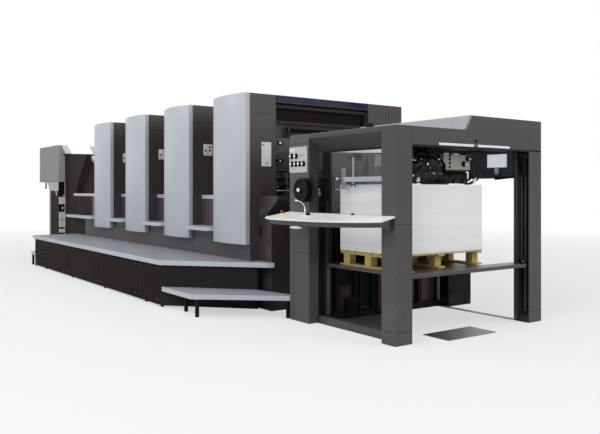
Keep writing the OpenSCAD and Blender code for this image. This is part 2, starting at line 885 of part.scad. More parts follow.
module knob_panel() {
  x = [feeder_x0 + 4, far_x - 18];
  y = -feeder_operator;
  z = [knob_panel_z, knob_panel_z + knob_panel_h];
  color(pale)
    box(x, [y - 6, y], z);
  color(near_black) {
    for (k = [0 : 2])
      translate([x[0] + 46 + k * 58, y - 6, z[0] + knob_panel_h * 0.64])
        rotate([90, 0, 0])
          cylinder(d = knob_dia, h = 24);
    for (k = [0 : 3])
      translate([x[0] + 36 + k * 58, y - 6, z[0] + knob_panel_h * 0.34])
        rotate([90, 0, 0])
          cylinder(d = knob_dia, h = 24);
  }
}

module handwheel_shaft() {
  color([0.7, 0.7, 0.7])
    translate([feeder_x0 + wheel_in, -feeder_operator, wheel_h])
      rotate([90, 0, 0]) {
        cylinder(d = shaft_dia + 16, h = 12);
        cylinder(d = shaft_dia, h = 74);
      }
}

// Disc wheel with a deep rim, a web and a hub on its shaft
module handwheel() {
  r = wheel_dia / 2;
  color(near_black)
    translate([feeder_x0 + wheel_in, -feeder_operator - 12.3, wheel_h])
      rotate([90, 0, 0])
        rotate_extrude($fn = 96)
          polygon([
            [shaft_dia / 2 + shaft_clear, 0], [shaft_dia / 2 + 14, 0], [shaft_dia / 2 + 14, 14],
            [r - 24, 14], [r - 16, 4], [r - 4, 4], [r, 12], [r, wheel_depth - 4], [r - 6, wheel_depth],
            [r - 16, wheel_depth], [r - 22, wheel_depth - 7], [shaft_dia / 2 + 16, wheel_depth - 9],
            [shaft_dia / 2 + 12, wheel_depth + 6],
            [shaft_dia / 2 + shaft_clear, wheel_depth + 6]
          ]);
}

module cable_cabinet() {
  color([0.28, 0.27, 0.27]) {
    box([units_half, far_x + 96], [feeder_drive, feeder_drive + cabinet_d], [0, cabinet_h]);
    box([far_x, far_x + 96], [far_in_drive, feeder_drive], [0, cabinet_h]);
  }
}

// Separate plate on the floor between the end columns
module entry_plate() {
  color([0.3, 0.3, 0.32])
    side_prism([
      [near_x - 35, 0], [feeder_x1 + 91, 0], [feeder_x1 + 85, 6], [near_x - 35, 6]
    ], [-240, 330]);
}

// Low base after the last unit, stepped like the unit bases
module delivery_link() {
  low = lower_tread_h - tread_t;
  high = walkway_h - walkway_t;
  color(umber)
    end_prism([
      [-operator_wall, 0], [delivery_drive, 0], [delivery_drive, high],
      [walkway_front, high], [walkway_front, low], [-operator_wall, low]
    ], [link_x, -units_half]);
}

// Housing over the chain track, from the last unit up to the hood, recessed beside the tread
module delivery_housing() {
  z0 = walkway_h - walkway_t;
  high_x = frame_x1 + wall_high_len;
  color(umber) {
    side_prism([
      [frame_x1, 0], [link_x, 0], [link_x, z0], [-units_half, z0], [-units_half, housing_top_near],
      [frame_x1, housing_top_far]
    ], [recess_front, delivery_drive]);
    side_prism([
      [frame_x1, 0], [link_x, 0], [link_x, z0], [frame_x1 + wall_low_len, z0],
      [high_x, housing_top(high_x)], [frame_x1, housing_top_far]
    ], [housing_front, recess_front]);
  }
}

module delivery_frames() {
  color(umber)
    for (y = [
      [-operator_wall, -operator_wall + side_frame_t], [delivery_drive - side_frame_t, delivery_drive]
    ])
      side_prism([
        [frame_x0, 0], [frame_x1, 0], [frame_x1, hood_bottom], [frame_x0 - hood_bracket, hood_bottom],
        [frame_x0 - hood_bracket, hood_bottom - 20], [frame_x0, hood_bottom - 1.4 * hood_bracket]
      ], y);
}

// Box over the operator side frame, with a slanted cheek towards the units
module delivery_hood() {
  y1 = -operator_wall + side_frame_t;
  slope_x = frame_x1 + cheek_len;
  color([0.55, 0.55, 0.55]) {
    box([hood_x0, frame_x1], [-operator_wall, y1], [hood_bottom, hood_top]);
    side_prism([
      [frame_x1 - 1, housing_top_far + seat_gap], [slope_x, housing_top(slope_x) + seat_gap],
      [frame_x1, hood_top], [frame_x1 - 1, hood_top]
    ], [y1 - 60, y1 + 45]);
  }
}

// Cover over the delivery pile, with a slanted screen over the end of the housing
module delivery_top_cover() {
  y1 = -operator_wall + side_frame_t;
  y2 = delivery_drive - side_frame_t;
  slope_x = frame_x1 + cheek_len;
  foot = housing_top(slope_x) + seat_gap;
  sheet = 14;
  color([0.6, 0.6, 0.6]) {
    side_prism([
      [hood_x0 + 40, hood_bottom], [frame_x1, hood_bottom], [frame_x1, housing_top_far],
      [hood_x0 + 200, housing_top_far], [hood_x0 + 40, housing_top_far - 120]
    ], [y1, delivery_drive]);
    side_prism([
      [frame_x1, hood_top - 5], [slope_x - sheet, foot + 2], [slope_x, foot], [frame_x1 + sheet, hood_top - 5]
    ], [screen_y, y2]);
    for (y = [screen_y + 200, y2 - sheet])
      side_prism([
        [frame_x1 - 30, housing_top_far - 1], [frame_x1, housing_top_far], [slope_x, foot],
        [frame_x1 + sheet, hood_top - 5], [frame_x1 - 1, hood_top - 5], [frame_x1 - 30, housing_top_far + 60]
      ], [y, y + sheet]);
  }
}

module delivery_control_panel() {
  color(pale)
    for (z = [[536, 658], [667, 798], [937, 1059]])
      box([frame_x1, frame_x1 + 24], [-operator_wall + 6, housing_front - 8], z);
}

bed();
unit_base(1);  // unit_base_1
unit_base(2);  // unit_base_2
unit_base(3);  // unit_base_3
unit_base(4);  // unit_base_4
unit_tower(1);  // unit_tower_1
unit_tower(2);  // unit_tower_2
unit_tower(3);  // unit_tower_3
unit_tower(4);  // unit_tower_4
unit_cover(1);  // unit_cover_1
unit_cover(2);  // unit_cover_2
unit_cover(3);  // unit_cover_3
unit_cover(4);  // unit_cover_4
tower_grilles();
roller_guards();
tinted_guards();
switch_panels();
lower_treads();
walkway_plates();
gallery_deck();
gallery_panels();
gallery_feet();
feeder_step();
delivery_step();
infeed_housing();
feed_table();
feeder_column_near_operator();
feeder_column_near_drive();
feeder_column_far_operator();
feeder_column_far_drive();
feeder_operator_beam();
feeder_end_beam();
feeder_drive_beam();
feeder_roof();
feeder_sills();
feeder_back_frame();
lift_rails();
pile_plate();
pallet();
paper_pile();
suction_head();
head_hoses();
head_crossbar();
head_control_box();
drive_inner_panel();
guard_window();
console_shelf();
console_apron();
knob_panel();
handwheel_shaft();
handwheel();
cable_cabinet();
entry_plate();
delivery_link();
delivery_housing();
delivery_frames();
delivery_hood();
delivery_top_cover();
delivery_control_panel();
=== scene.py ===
import math
import bpy
import bmesh
from mathutils import Matrix, Vector


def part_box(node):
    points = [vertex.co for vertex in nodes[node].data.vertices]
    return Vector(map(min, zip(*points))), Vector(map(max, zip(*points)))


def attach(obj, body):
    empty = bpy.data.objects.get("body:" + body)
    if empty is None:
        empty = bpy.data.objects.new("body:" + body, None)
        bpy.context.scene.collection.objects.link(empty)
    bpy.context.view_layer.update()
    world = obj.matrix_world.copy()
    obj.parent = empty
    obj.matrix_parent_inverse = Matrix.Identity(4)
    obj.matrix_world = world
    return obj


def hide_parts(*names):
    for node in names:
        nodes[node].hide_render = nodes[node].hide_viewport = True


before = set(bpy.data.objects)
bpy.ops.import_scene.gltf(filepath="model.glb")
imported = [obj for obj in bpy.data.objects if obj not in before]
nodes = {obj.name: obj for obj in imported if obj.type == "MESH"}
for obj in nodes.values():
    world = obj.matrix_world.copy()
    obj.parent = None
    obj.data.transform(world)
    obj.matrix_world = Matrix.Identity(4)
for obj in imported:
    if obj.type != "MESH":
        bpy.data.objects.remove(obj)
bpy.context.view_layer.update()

# camera fitted to the photograph, metres and degrees in the frame of the press
photoCamera = {
    "place": (8.343, -4.3425, 1.186),
    "heading": 54.37,       # degrees the view turns from +Y towards -X
    "focalPixels": 691,
    "pictureWidth": 600,
    "horizonRow": 189.75,
    "middleRow": 217,
}


def placeCamera(c):
    data = bpy.data.cameras.new("photoCamera")
    data.sensor_width = 36
    data.lens = 36 * c["focalPixels"] / c["pictureWidth"]
    data.shift_y = (c["horizonRow"] - c["middleRow"]) / c["pictureWidth"]
    data.clip_end = 200
    camera = bpy.data.objects.new("photoCamera", data)
    camera.location = c["place"]
    camera.rotation_euler = (math.radians(90), 0, math.radians(c["heading"]))
    bpy.context.scene.collection.objects.link(camera)
    bpy.context.scene.camera = camera


placeCamera(photoCamera)
print("camera placed")


class Wire:
    # a shader socket that takes part in plain arithmetic
    def __init__(self, finish, socket):
        self.finish = finish
        self.socket = socket

    def maths(self, operation, *values):
        made = self.finish.add("ShaderNodeMath", {"operation": operation}, dict(enumerate(values)))
        return made.out()

    def __add__(self, other): return self.maths("ADD", self, other)
    def __radd__(self, other): return self.maths("ADD", other, self)
    def __sub__(self, other): return self.maths("SUBTRACT", self, other)
    def __rsub__(self, other): return self.maths("SUBTRACT", other, self)
    def __mul__(self, other): return self.maths("MULTIPLY", self, other)
    def __rmul__(self, other): return self.maths("MULTIPLY", other, self)
    def __truediv__(self, other): return self.maths("DIVIDE", self, other)
    def __pow__(self, other): return self.maths("POWER", self, other)
    def __gt__(self, other): return self.maths("GREATER_THAN", self, other)
    def clipped(self): return self.maths("MINIMUM", self.maths("MAXIMUM", self, 0.0), 1.0)


class Added:
    # a node just added, with its outputs as wires
    def __init__(self, finish, node):
        self.finish = finish
        self.node = node

    def out(self, name=0):
        return Wire(self.finish, self.node.outputs[name])


class Finish:
    # a material with the few helpers its recipes use
    def __init__(self, name):
        self.material = bpy.data.materials.new(name)
        self.material.use_nodes = True
        self.tree = self.material.node_tree
        self.surface = self.tree.nodes["Principled BSDF"]

    def add(self, kind, settings=None, sockets=None):
        node = self.tree.nodes.new(kind)
        for field, value in (settings or {}).items():
            if field == "stops":
                while len(node.color_ramp.elements) < len(value):
                    node.color_ramp.elements.new(0.5)
                for element, (place, colour) in zip(node.color_ramp.elements, value):
                    element.position = place
                    element.color = (*colour, 1)
            else:
                setattr(node, field, value)
        for name, value in (sockets or {}).items():
            self.feed(node.inputs[name], value)
        return Added(self, node)

    def feed(self, socket, value):
        if isinstance(value, Wire):
            self.tree.links.new(value.socket, socket)
        elif isinstance(value, (tuple, list)) and len(value) == 3 and socket.type == "RGBA":
            socket.default_value = (*value, 1)
        else:
            socket.default_value = value

    def place(self, stretch=(1, 1, 1), turn=(0, 0, 0)):
        coords = self.add("ShaderNodeTexCoord").out("Object")
        if stretch == (1, 1, 1) and turn == (0, 0, 0):
            return coords
        return self.add("ShaderNodeMapping", None, {"Vector": coords, "Scale": stretch, "Rotation": turn}).out()

    def noise(self, scale, detail=3.0, stretch=(1, 1, 1)):
        return self.add("ShaderNodeTexNoise", None,
                        {"Vector": self.place(stretch), "Scale": scale, "Detail": detail}).out("Fac")

    def axis(self, name):
        return self.add("ShaderNodeSeparateXYZ", None, {0: self.place()}).out(name)

    def between(self, value, low, high):
        # 0 below low, 1 above high
        return self.add("ShaderNodeMapRange", {"clamp": True},
                        {"Value": value, "From Min": low, "From Max": high}).out()

    def mixed(self, mask, first, second):
        node = self.add("ShaderNodeMix", {"data_type": "RGBA"})
        self.feed(node.node.inputs[0], mask)
        self.feed(node.node.inputs[6], first)
        self.feed(node.node.inputs[7], second)
        return node.out(2)

    def edges(self):
        # the worn strips along edges, kept on the mesh by softened()
        return self.add("ShaderNodeAttribute", {"attribute_name": "edgeWear"}).out("Fac")

    def bumped(self, height, strength, distance=0.001):
        made = self.add("ShaderNodeBump", None, {"Height": height, "Distance": distance, "Strength": strength})
        self.tree.links.new(made.out().socket, self.surface.inputs["Normal"])

    def set(self, **values):
        for name, value in values.items():
            self.feed(self.surface.inputs[name.replace("_", " ")], value)
        return self


def shade(colour, amount):
    # a colour made lighter or darker, worked out here and not in nodes
    return tuple(min(1.0, c * amount) for c in colour)


def paintFinish(name, colour, roughness=0.42, mottle=0.10, peel=0.10, wornTo=2.0, dust=0.25,
                shine=0.4, paintedShadeAbove=None):
    # sprayed paint: broad mottle, orange peel, dust low down and paler worn edges
    f = Finish(name)
    broad = f.noise(1.3, 4)
    fine = f.noise(38, 2)
    base = f.mixed(f.between(broad, 0.3, 0.7), shade(colour, 1 - mottle), shade(colour, 1 + mottle))
    smudge = f.between(f.noise(5.5, 5), 0.56, 0.72) * 0.5
    base = f.mixed(smudge, base, shade(colour, 1 + mottle * 1.6))
    if paintedShadeAbove:
        # painted shade, darker towards the top where the floor's bounce light no longer reaches: (from height, to
        # height, share of the colour left at the top)
        base = f.mixed(f.between(f.axis("Z"), *paintedShadeAbove[:2]), base, shade(colour, paintedShadeAbove[2]))
    low = (1 - f.between(f.axis("Z"), 0.0, 0.35)) * f.between(f.noise(9, 4), 0.35, 0.7)
    dusty = tuple(0.6 * c + 0.12 for c in colour)
    base = f.mixed(low * dust, base, dusty)
    worn = f.edges() * f.between(fine, 0.42, 0.58)
    base = f.mixed(worn * 0.22, base, shade(colour, wornTo))
    f.set(Base_Color=base, Specular_IOR_Level=shine)
    f.set(Roughness=(roughness + (broad - 0.5) * 0.16 + smudge * 0.08 + low * 0.12).clipped())
    f.bumped(f.noise(420, 1) * peel + f.noise(60, 2) * peel * 0.6, 0.35, 0.0006)
    return f


def metalFinish(name, colour, roughness=0.32, grain=(1, 1, 60), wear=0.2):
    # brushed metal: streaks along one direction and a few dull patches
    f = Finish(name)
    streak = f.noise(26, 3, grain)
    patch = f.noise(3.2, 4)
    base = f.mixed(f.between(streak, 0.3, 0.7), shade(colour, 0.86), shade(colour, 1.08))
    base = f.mixed(f.between(patch, 0.52, 0.75) * wear, base, shade(colour, 0.62))
    f.set(Base_Color=base, Metallic=1.0)
    f.set(Roughness=(roughness + (streak - 0.5) * 0.22 + (patch - 0.5) * 0.12).clipped())
    f.bumped(streak, 0.12, 0.0004)
    return f


def plasticFinish(name, colour, roughness=0.38, grainScale=260, shine=0.5):
    # moulded plastic with a fine grain
    f = Finish(name)
    soft = f.noise(7, 3)
    grain = f.noise(grainScale, 1)
    base = f.mixed(f.between(soft, 0.3, 0.7), shade(colour, 0.93), shade(colour, 1.06))
    base = f.mixed(f.edges() * 0.35, base, shade(colour, 1.35))
    f.set(Base_Color=base, Specular_IOR_Level=shine,
          Roughness=(roughness + (soft - 0.5) * 0.12 + (grain - 0.5) * 0.08).clipped())
    f.bumped(grain, 0.18, 0.0003)
    return f


def treadFinish(name, colour):
    # aluminium tread sheet: rows of small raised studs, walked smooth in patches
    f = Finish(name)
    turned = f.place((46, 46, 46), (0, 0, math.radians(45)))
    dots = f.add("ShaderNodeTexVoronoi", {"feature": "F1", "distance": "EUCLIDEAN"},
                 {"Vector": turned, "Scale": 1.0, "Randomness": 0.0}).out("Distance")
    stud = 1 - f.between(dots, 0.18, 0.34)
    walked = f.between(f.noise(2.2, 4), 0.4, 0.66)
    grit = f.noise(90, 3)
    base = f.mixed(f.between(grit, 0.3, 0.7), shade(colour, 0.86), shade(colour, 1.12))
    base = f.mixed(stud * (0.35 + walked * 0.4), base, shade(colour, 1.45))
    base = f.mixed(walked * 0.25, base, shade(colour, 0.78))
    f.set(Base_Color=base, Metallic=0.25)
    f.set(Roughness=(0.52 - stud * 0.14 + walked * 0.1 + (grit - 0.5) * 0.15).clipped())
    f.bumped(stud + grit * 0.25, 0.6, 0.0012)
    return f


def paperFinish(name, colour):
    # edges of a sheet stack: fine level lines with a few lifts of slightly other tone
    f = Finish(name)
    level = f.noise(1.0, 2, (0.6, 0.6, 900))
    lift = f.noise(1.0, 1, (0.2, 0.2, 46))
    soft = f.noise(2.5, 3, (1, 1, 0.4))
    base = f.mixed(f.between(level, 0.3, 0.7), shade(colour, 0.96), shade(colour, 1.02))
    base = f.mixed(f.between(lift, 0.58, 0.64) * 0.2, base, shade(colour, 0.92))
    base = f.mixed(f.between(soft, 0.45, 0.75) * 0.25, base, shade(colour, 0.95))
    f.set(Base_Color=base, Roughness=0.82 + (level - 0.5) * 0.1)
    f.bumped(level + lift, 0.3, 0.001)
    return f


def woodFinish(name, colour):
    # rough sawn boards, their grain along x
    f = Finish(name)
    grain = f.noise(5, 5, (2.5, 28, 28))
    fibre = f.noise(24, 2, (2, 30, 30))
    knots = f.noise(3.1, 2, (1.2, 5, 5))
    base = f.mixed(f.between(grain, 0.32, 0.68), shade(colour, 0.66), shade(colour, 1.12))
    base = f.mixed(f.between(knots, 0.66, 0.74) * 0.7, base, shade(colour, 0.34))
    base = f.mixed(f.edges() * 0.4, base, shade(colour, 1.3))
    f.set(Base_Color=base, Roughness=(0.72 + (fibre - 0.5) * 0.2).clipped())
    f.bumped(fibre + grain * 0.6, 0.5, 0.0012)
    return f


def glassFinish(name, colour, alpha, roughness=0.06):
    # a clear sheet with a faint film
    f = Finish(name)
    film = f.noise(4.5, 4)
    f.set(Base_Color=f.mixed(f.between(film, 0.35, 0.7), shade(colour, 0.85), shade(colour, 1.1)))
    f.set(Roughness=(roughness + f.between(film, 0.5, 0.8) * 0.08).clipped())
    f.set(Alpha=(alpha + f.between(film, 0.45, 0.8) * 0.05).clipped())
    return f


def glowFinish(name, colour, strength):
    f = Finish(name)
    cells = f.noise(30, 2)
    f.set(Base_Color=shade(colour, 0.35), Roughness=0.3, Emission_Strength=strength,
          Emission_Color=f.mixed(cells, shade(colour, 0.9), shade(colour, 1.1)))
    return f


def screenFinish(name, ground, line):
    # a plain operating display: pale ground, a darker bar on top and level rows
    f = Finish(name)
    rows = f.add("ShaderNodeTexWave", {"wave_type": "BANDS", "bands_direction": "Z"},
                 {"Vector": f.place(), "Scale": 26.0, "Distortion": 0.0}).out("Fac")
    along = f.noise(60, 1, (1, 1, 0.1))
    mark = (rows > 0.86) * (along > 0.47)
    colour = f.mixed(mark * 0.55, ground, line)
    f.set(Base_Color=colour, Emission_Color=colour, Emission_Strength=0.62,
          Roughness=(0.16 + along * 0.06).clipped())
    return f


umber = paintFinish("umberPaint", (0.044, 0.036, 0.035), 0.42)
# a lighter copy of the umber for the towers' faces turned to the operator side: painted light
umberPaintedLight = paintFinish("umberPaintedLightPaint", (0.120, 0.103, 0.106), 0.42)
# a lighter copy of the umber for the units' bases, which sit in shade under the treads: painted light
umberBasePaintedLight = paintFinish("umberBasePaintedLightPaint", (0.052, 0.041, 0.042), 0.45)
# darker copies of the umber for the gallery, against the floor's bounce light: painted shade; the slanted copy is a
# little lighter, for faces turned to the feeder end
umberLowPaintedShade = paintFinish("umberLowPaintedShadePaint", (0.0115, 0.0048, 0.0054), 0.6, wornTo=3.0, dust=0.05, shine=0.05)
umberSlantPaintedShade = paintFinish("umberSlantPaintedShadePaint", (0.0155, 0.0130, 0.0140), 0.6, wornTo=3.0, dust=0.08, shine=0.1)
# a darker copy of the umber for the delivery end: painted shade
umberFarPaintedShade = paintFinish("umberFarPaintedShadePaint", (0.0190, 0.0125, 0.0115), 0.6, wornTo=3.0, dust=0.05, shine=0.06)
# umber in the shadow paint, for recesses, back plates and the bed under the units: painted shade
umberPaintedShadow = paintFinish("umberShadowPaint", (0.010, 0.008, 0.008), 0.6, shine=0.15)
charcoal = paintFinish("charcoalPaint", (0.066, 0.058, 0.060), 0.42)
# a lighter copy of the charcoal for the near columns and beams, darker towards the top: painted light and shade
charcoalWallPaintedShade = paintFinish("charcoalWallPaintedShadePaint", (0.076, 0.068, 0.073), 0.45, shine=0.3, paintedShadeAbove=(0.7, 1.5, 0.72))
# a darker copy of the charcoal for the beam on the drive side: painted shade
driveWallPaintedShade = paintFinish("driveWallPaintedShadePaint", (0.040, 0.036, 0.038), 0.5, shine=0.25)
beamPaint = paintFinish("beamPaint", (0.053, 0.047, 0.050), 0.45, shine=0.3)
cabinetPaint = paintFinish("cabinetPaint", (0.008, 0.006, 0.006), 0.6, shine=0.1)
coverPaint = paintFinish("coverPaint", (0.41, 0.44, 0.485), 0.33, 0.05, 0.16, 1.25, 0.1, 0.5)
palePaint = paintFinish("palePaint", (0.36, 0.355, 0.385), 0.45, 0.05, 0.12, 1.4, 0.1)
hoodPaint = paintFinish("hoodPaint", (0.178, 0.176, 0.188), 0.42, 0.05, 0.12, 1.5, 0.1, 0.3)
cheekPaint = paintFinish("cheekPaint", (0.66, 0.655, 0.66), 0.45, 0.04, 0.1, 1.3, 0.1)
bluePanel = paintFinish("blueGreyPaint", (0.068, 0.066, 0.088), 0.4)
channelPaint = paintFinish("channelPaint", (0.020, 0.012, 0.011), 0.55, shine=0.25)
treadSheet = treadFinish("treadSheet", (0.37, 0.385, 0.435))
deckSheet = treadFinish("deckSheet", (0.285, 0.295, 0.332))
# a paler, shinier paint for the treads' side faces: painted highlight along the front edges
treadEdgeHighlight = paintFinish("treadEdgeHighlight", (0.46, 0.485, 0.55), 0.36, 0.08, 0.1, 1.2, 0.1, 0.6)
blackMetal = paintFinish("blackMetal", (0.007, 0.0055, 0.0055), 0.55, 0.15, 0.1, 4.0, 0.06, 0.12)
blackPlastic = plasticFinish("blackPlastic", (0.010, 0.009, 0.009), 0.4, 260, 0.3)
flatBlack = plasticFinish("flatBlack", (0.0055, 0.0048, 0.0048), 0.6, 260, 0.12)
rubber = plasticFinish("rubber", (0.015, 0.0115, 0.011), 0.42, 160, 0.3)
steel = metalFinish("brushedSteel", (0.56, 0.56, 0.57))
darkSteel = metalFinish("oiledSteel", (0.20, 0.195, 0.19), 0.42)
railSteel = metalFinish("railSteel", (0.11, 0.105, 0.10), 0.45)
chrome = metalFinish("chrome", (0.78, 0.78, 0.79), 0.12, (1, 60, 1), 0.08)
tinted = glassFinish("tintedGuard", (0.016, 0.022, 0.075), 0.94)
acrylic = glassFinish("clearGuard", (0.33, 0.35, 0.38), 0.07)
tinted.set(Specular_IOR_Level=0.08)
whitePanel = plasticFinish("whitePanel", (0.70, 0.685, 0.665), 0.4)
knobPlate = plasticFinish("knobPlate", (0.45, 0.435, 0.42), 0.4)
floorSheet = paintFinish("floorSheetPaint", (0.085, 0.080, 0.098), 0.6, shine=0.1)
backSheet = paintFinish("backSheetPaint", (0.085, 0.062, 0.055), 0.6, shine=0.1)
shelfTop = plasticFinish("shelfLaminate", (0.93, 0.93, 0.935), 0.36, 120)
whitePlastic = plasticFinish("whitePlastic", (0.86, 0.86, 0.84), 0.35)
beigeBox = plasticFinish("beigeBox", (0.40, 0.375, 0.345), 0.5, 180)
cream = plasticFinish("creamPlastic", (0.70, 0.66, 0.55), 0.4)
redPlastic = plasticFinish("redPlastic", (0.40, 0.014, 0.012), 0.35)
redDark = plasticFinish("darkRedPlastic", (0.16, 0.012, 0.012), 0.4)
yellowPlastic = plasticFinish("yellowPlastic", (0.78, 0.58, 0.10), 0.35)
orangePlastic = plasticFinish("orangePlastic", (0.62, 0.22, 0.03), 0.35)
paper = paperFinish("paperEdges", (0.88, 0.88, 0.88))
wood = woodFinish("palletWood", (0.56, 0.42, 0.15))
barBlue = paintFinish("barBluePaint", (0.42, 0.47, 0.53), 0.4, 0.05, 0.1, 1.3, 0.1)
padGrey = plasticFinish("padGrey", (0.78, 0.775, 0.77), 0.5)
lampGlow = glowFinish("lampStrip", (0.95, 0.97, 1.0), 0.38)
screen = screenFinish("operatingDisplay", (0.65, 0.72, 0.78), (0.10, 0.20, 0.42))
print("finishes mixed")


axes = (Vector((1, 0, 0)), Vector((0, 1, 0)), Vector((0, 0, 1)))
right, near, away, up = (1, 0, 0), (0, -1, 0), (0, 1, 0), (0, 0, 1)    # feeder, operator, drive side


def freshMesh():
    bm = bmesh.new()
    bm.faces.layers.float.new("edgeWear")
    return bm


def softened(bm, width, faces=None, segments=2, sharper=25):
    # bevels the crisp edges and marks the new strips for the wear in the materials
    if width <= 0:
        return
    edges = bm.edges if faces is None else {e for f in faces for e in f.edges}
    crisp = [e for e in edges if e.is_manifold and e.calc_face_angle(0) > math.radians(sharper)]
    wear = bm.faces.layers.float.get("edgeWear")
    made = bmesh.ops.bevel(bm, geom=crisp, offset=width, offset_type="OFFSET", affect="EDGES",
                           segments=segments, profile=0.5, material=-1, clamp_overlap=True)
    for f in made["faces"]:
        f[wear] = 1.0


def painted(verts, paint):
    faces = {f for v in verts if v.is_valid for f in v.link_faces}
    for f in faces:
        f.material_index = paint
    return list(faces)


def aimed(place, facing):
    # brings a form that stands on the origin to a place, its +Z along facing
    turn = Vector(facing).to_track_quat("Z", "Y").to_matrix().to_4x4()
    return Matrix.Translation(place) @ turn


def block(bm, low, high, paint=0, soft=0.002):
    low, high = Vector(low), Vector(high)
    made = bmesh.ops.create_cube(bm, size=1)
    bmesh.ops.scale(bm, vec=high - low, verts=made["verts"])
    bmesh.ops.translate(bm, vec=(low + high) / 2, verts=made["verts"])
    softened(bm, min(soft, min(high - low) * 0.3), painted(made["verts"], paint))


def rod(bm, start, end, radius, paint=0, sides=20, soft=0.001):
    start, end = Vector(start), Vector(end)
    made = bmesh.ops.create_cone(bm, cap_ends=True, segments=sides, radius1=radius, radius2=radius,
                                 depth=(end - start).length)
    bmesh.ops.transform(bm, matrix=aimed((start + end) / 2, end - start), verts=made["verts"])
    softened(bm, min(soft, radius * 0.3), painted(made["verts"], paint), 1, 50)


def ball(bm, place, radius, paint=0, squash=(1, 1, 1)):
    made = bmesh.ops.create_uvsphere(bm, u_segments=20, v_segments=12, radius=radius)
    bmesh.ops.scale(bm, vec=squash, verts=made["verts"])
    bmesh.ops.translate(bm, vec=place, verts=made["verts"])
    painted(made["verts"], paint)


def turned(bm, outline, place, facing, paint=0, steps=40):
    # spins an outline of (radius, height) pairs about the line through place along facing
    before = set(bm.verts)
    verts = [bm.verts.new((r, 0, h)) for r, h in outline]
    edges = [bm.edges.new(pair) for pair in zip(verts, verts[1:])]
    bmesh.ops.spin(bm, geom=verts + edges, cent=(0, 0, 0), axis=up, dvec=(0, 0, 0),
                   angle=math.tau, steps=steps, use_merge=True, use_duplicate=False)
    bmesh.ops.remove_doubles(bm, verts=[v for v in bm.verts if v not in before], dist=1e-6)
    made = [v for v in bm.verts if v not in before]
    bmesh.ops.recalc_face_normals(bm, faces=painted(made, paint))
    bmesh.ops.transform(bm, matrix=aimed(place, facing), verts=made)


def closed(bm, before, paint):
    # paints the faces made since before and turns them outwards
    faces = [f for f in bm.faces if f not in before]
    for f in faces:
        f.material_index = paint
    bmesh.ops.recalc_face_normals(bm, faces=faces)
    return faces


def sheetCut(bm, outline, push, paint=0, soft=0.0015):
    # a flat outline pushed to a plate, its corners and rim softened
    before = set(bm.faces)
    face = bm.faces.new([bm.verts.new(p) for p in outline])
    made = bmesh.ops.extrude_face_region(bm, geom=[face], use_keep_orig=True)
    moved = [g for g in made["geom"] if isinstance(g, bmesh.types.BMVert)]
    bmesh.ops.translate(bm, vec=push, verts=moved)
    softened(bm, soft, closed(bm, before, paint))


def tube(bm, points, radius, paint=0, sides=12):
    # a round tube through the points, its rings bridged one after another
    points = [Vector(p) for p in points]
    rings = []
    normal = None
    for i, p in enumerate(points):
        ahead = (points[min(i + 1, len(points) - 1)] - points[max(i - 1, 0)]).normalized()
        normal = normal or ahead.orthogonal().normalized()
        normal = (normal - ahead * normal.dot(ahead)).normalized()
        made = bmesh.ops.create_circle(bm, cap_ends=False, segments=sides, radius=radius)
        turn = Matrix((normal, ahead.cross(normal), ahead)).transposed().to_4x4()
        bmesh.ops.transform(bm, matrix=Matrix.Translation(p) @ turn, verts=made["verts"])
        rings.append(made["verts"])
    before = set(bm.faces)
    for pair in zip(rings, rings[1:]):
        loops = {e for ring in pair for v in ring for e in v.link_edges if e.other_vert(v) in ring}
        bmesh.ops.bridge_loops(bm, edges=list(loops))
    for ring in (rings[0], rings[-1]):
        bm.faces.new(ring)
    closed(bm, before, paint)


def curved(points, steps=8):
    # a smooth line through the given points
    points = [Vector(p) for p in points]
    line = []
    for i in range(len(points) - 1):
        a, d = points[max(i - 1, 0)], points[min(i + 2, len(points) - 1)]
        b, c = points[i], points[i + 1]
        for k in range(steps):
            t = k / steps
            line.append(0.5 * ((2 * b) + (c - a) * t + (2 * a - 5 * b + 4 * c - d) * t ** 2
                               + (3 * b - a - 3 * c + d) * t ** 3))
    line.append(points[-1])
    return line


# how near counts as the same, in metres unless noted
nearEnough = {
    "alike": 0.98,           # cosine between a face's normal and a direction
    "edge": 1e-5,
    "plane": 0.0011,         # how far a face may lie from the plane that is cut
    "doubles": 2e-5,
}


def flatAxes(facing):
    # the two directions that lie in a face that looks along facing
    return [i for i in range(3) if abs(facing[i]) < 0.5]


def cutInto(bm, facing, plane, low, high, depth, paint=None):
    # sinks a field of the face at plane; its corners are given in the face's own two directions
    facing, flat, slack = Vector(facing), flatAxes(facing), nearEnough["edge"]
    normal = 3 - sum(flat)

    def faced():
        return [f for f in bm.faces if f.normal.dot(facing) > nearEnough["alike"]]

    bm.normal_update()
    for axis, *places in zip(flat, low, high):
        for place in places:
            geom = faced()
            geom += list({e for f in geom for e in f.edges} | {v for f in geom for v in f.verts})
            bmesh.ops.bisect_plane(bm, geom=geom, dist=1e-6, plane_co=axes[axis] * place, plane_no=axes[axis])

    def inside(f):
        c = f.calc_center_bounds()
        within = all(a - slack <= c[i] <= b + slack for i, a, b in zip(flat, low, high))
        return within and abs(c[normal] - plane) <= nearEnough["plane"]

    bm.normal_update()
    chosen = [f for f in faced() if inside(f)]
    if not chosen:
        print("nothing to cut at", tuple(round(v, 3) for v in low))
        return
    made = bmesh.ops.extrude_face_region(bm, geom=chosen)
    moved = [g for g in made["geom"] if isinstance(g, bmesh.types.BMVert)]
    sunk = [g for g in made["geom"] if isinstance(g, bmesh.types.BMFace)]
    bmesh.ops.translate(bm, vec=-facing * depth, verts=moved)
    bmesh.ops.delete(bm, geom=[f for f in chosen if f.is_valid], context="FACES_ONLY")
    if paint is not None:
        for f in sunk:
            f.material_index = paint


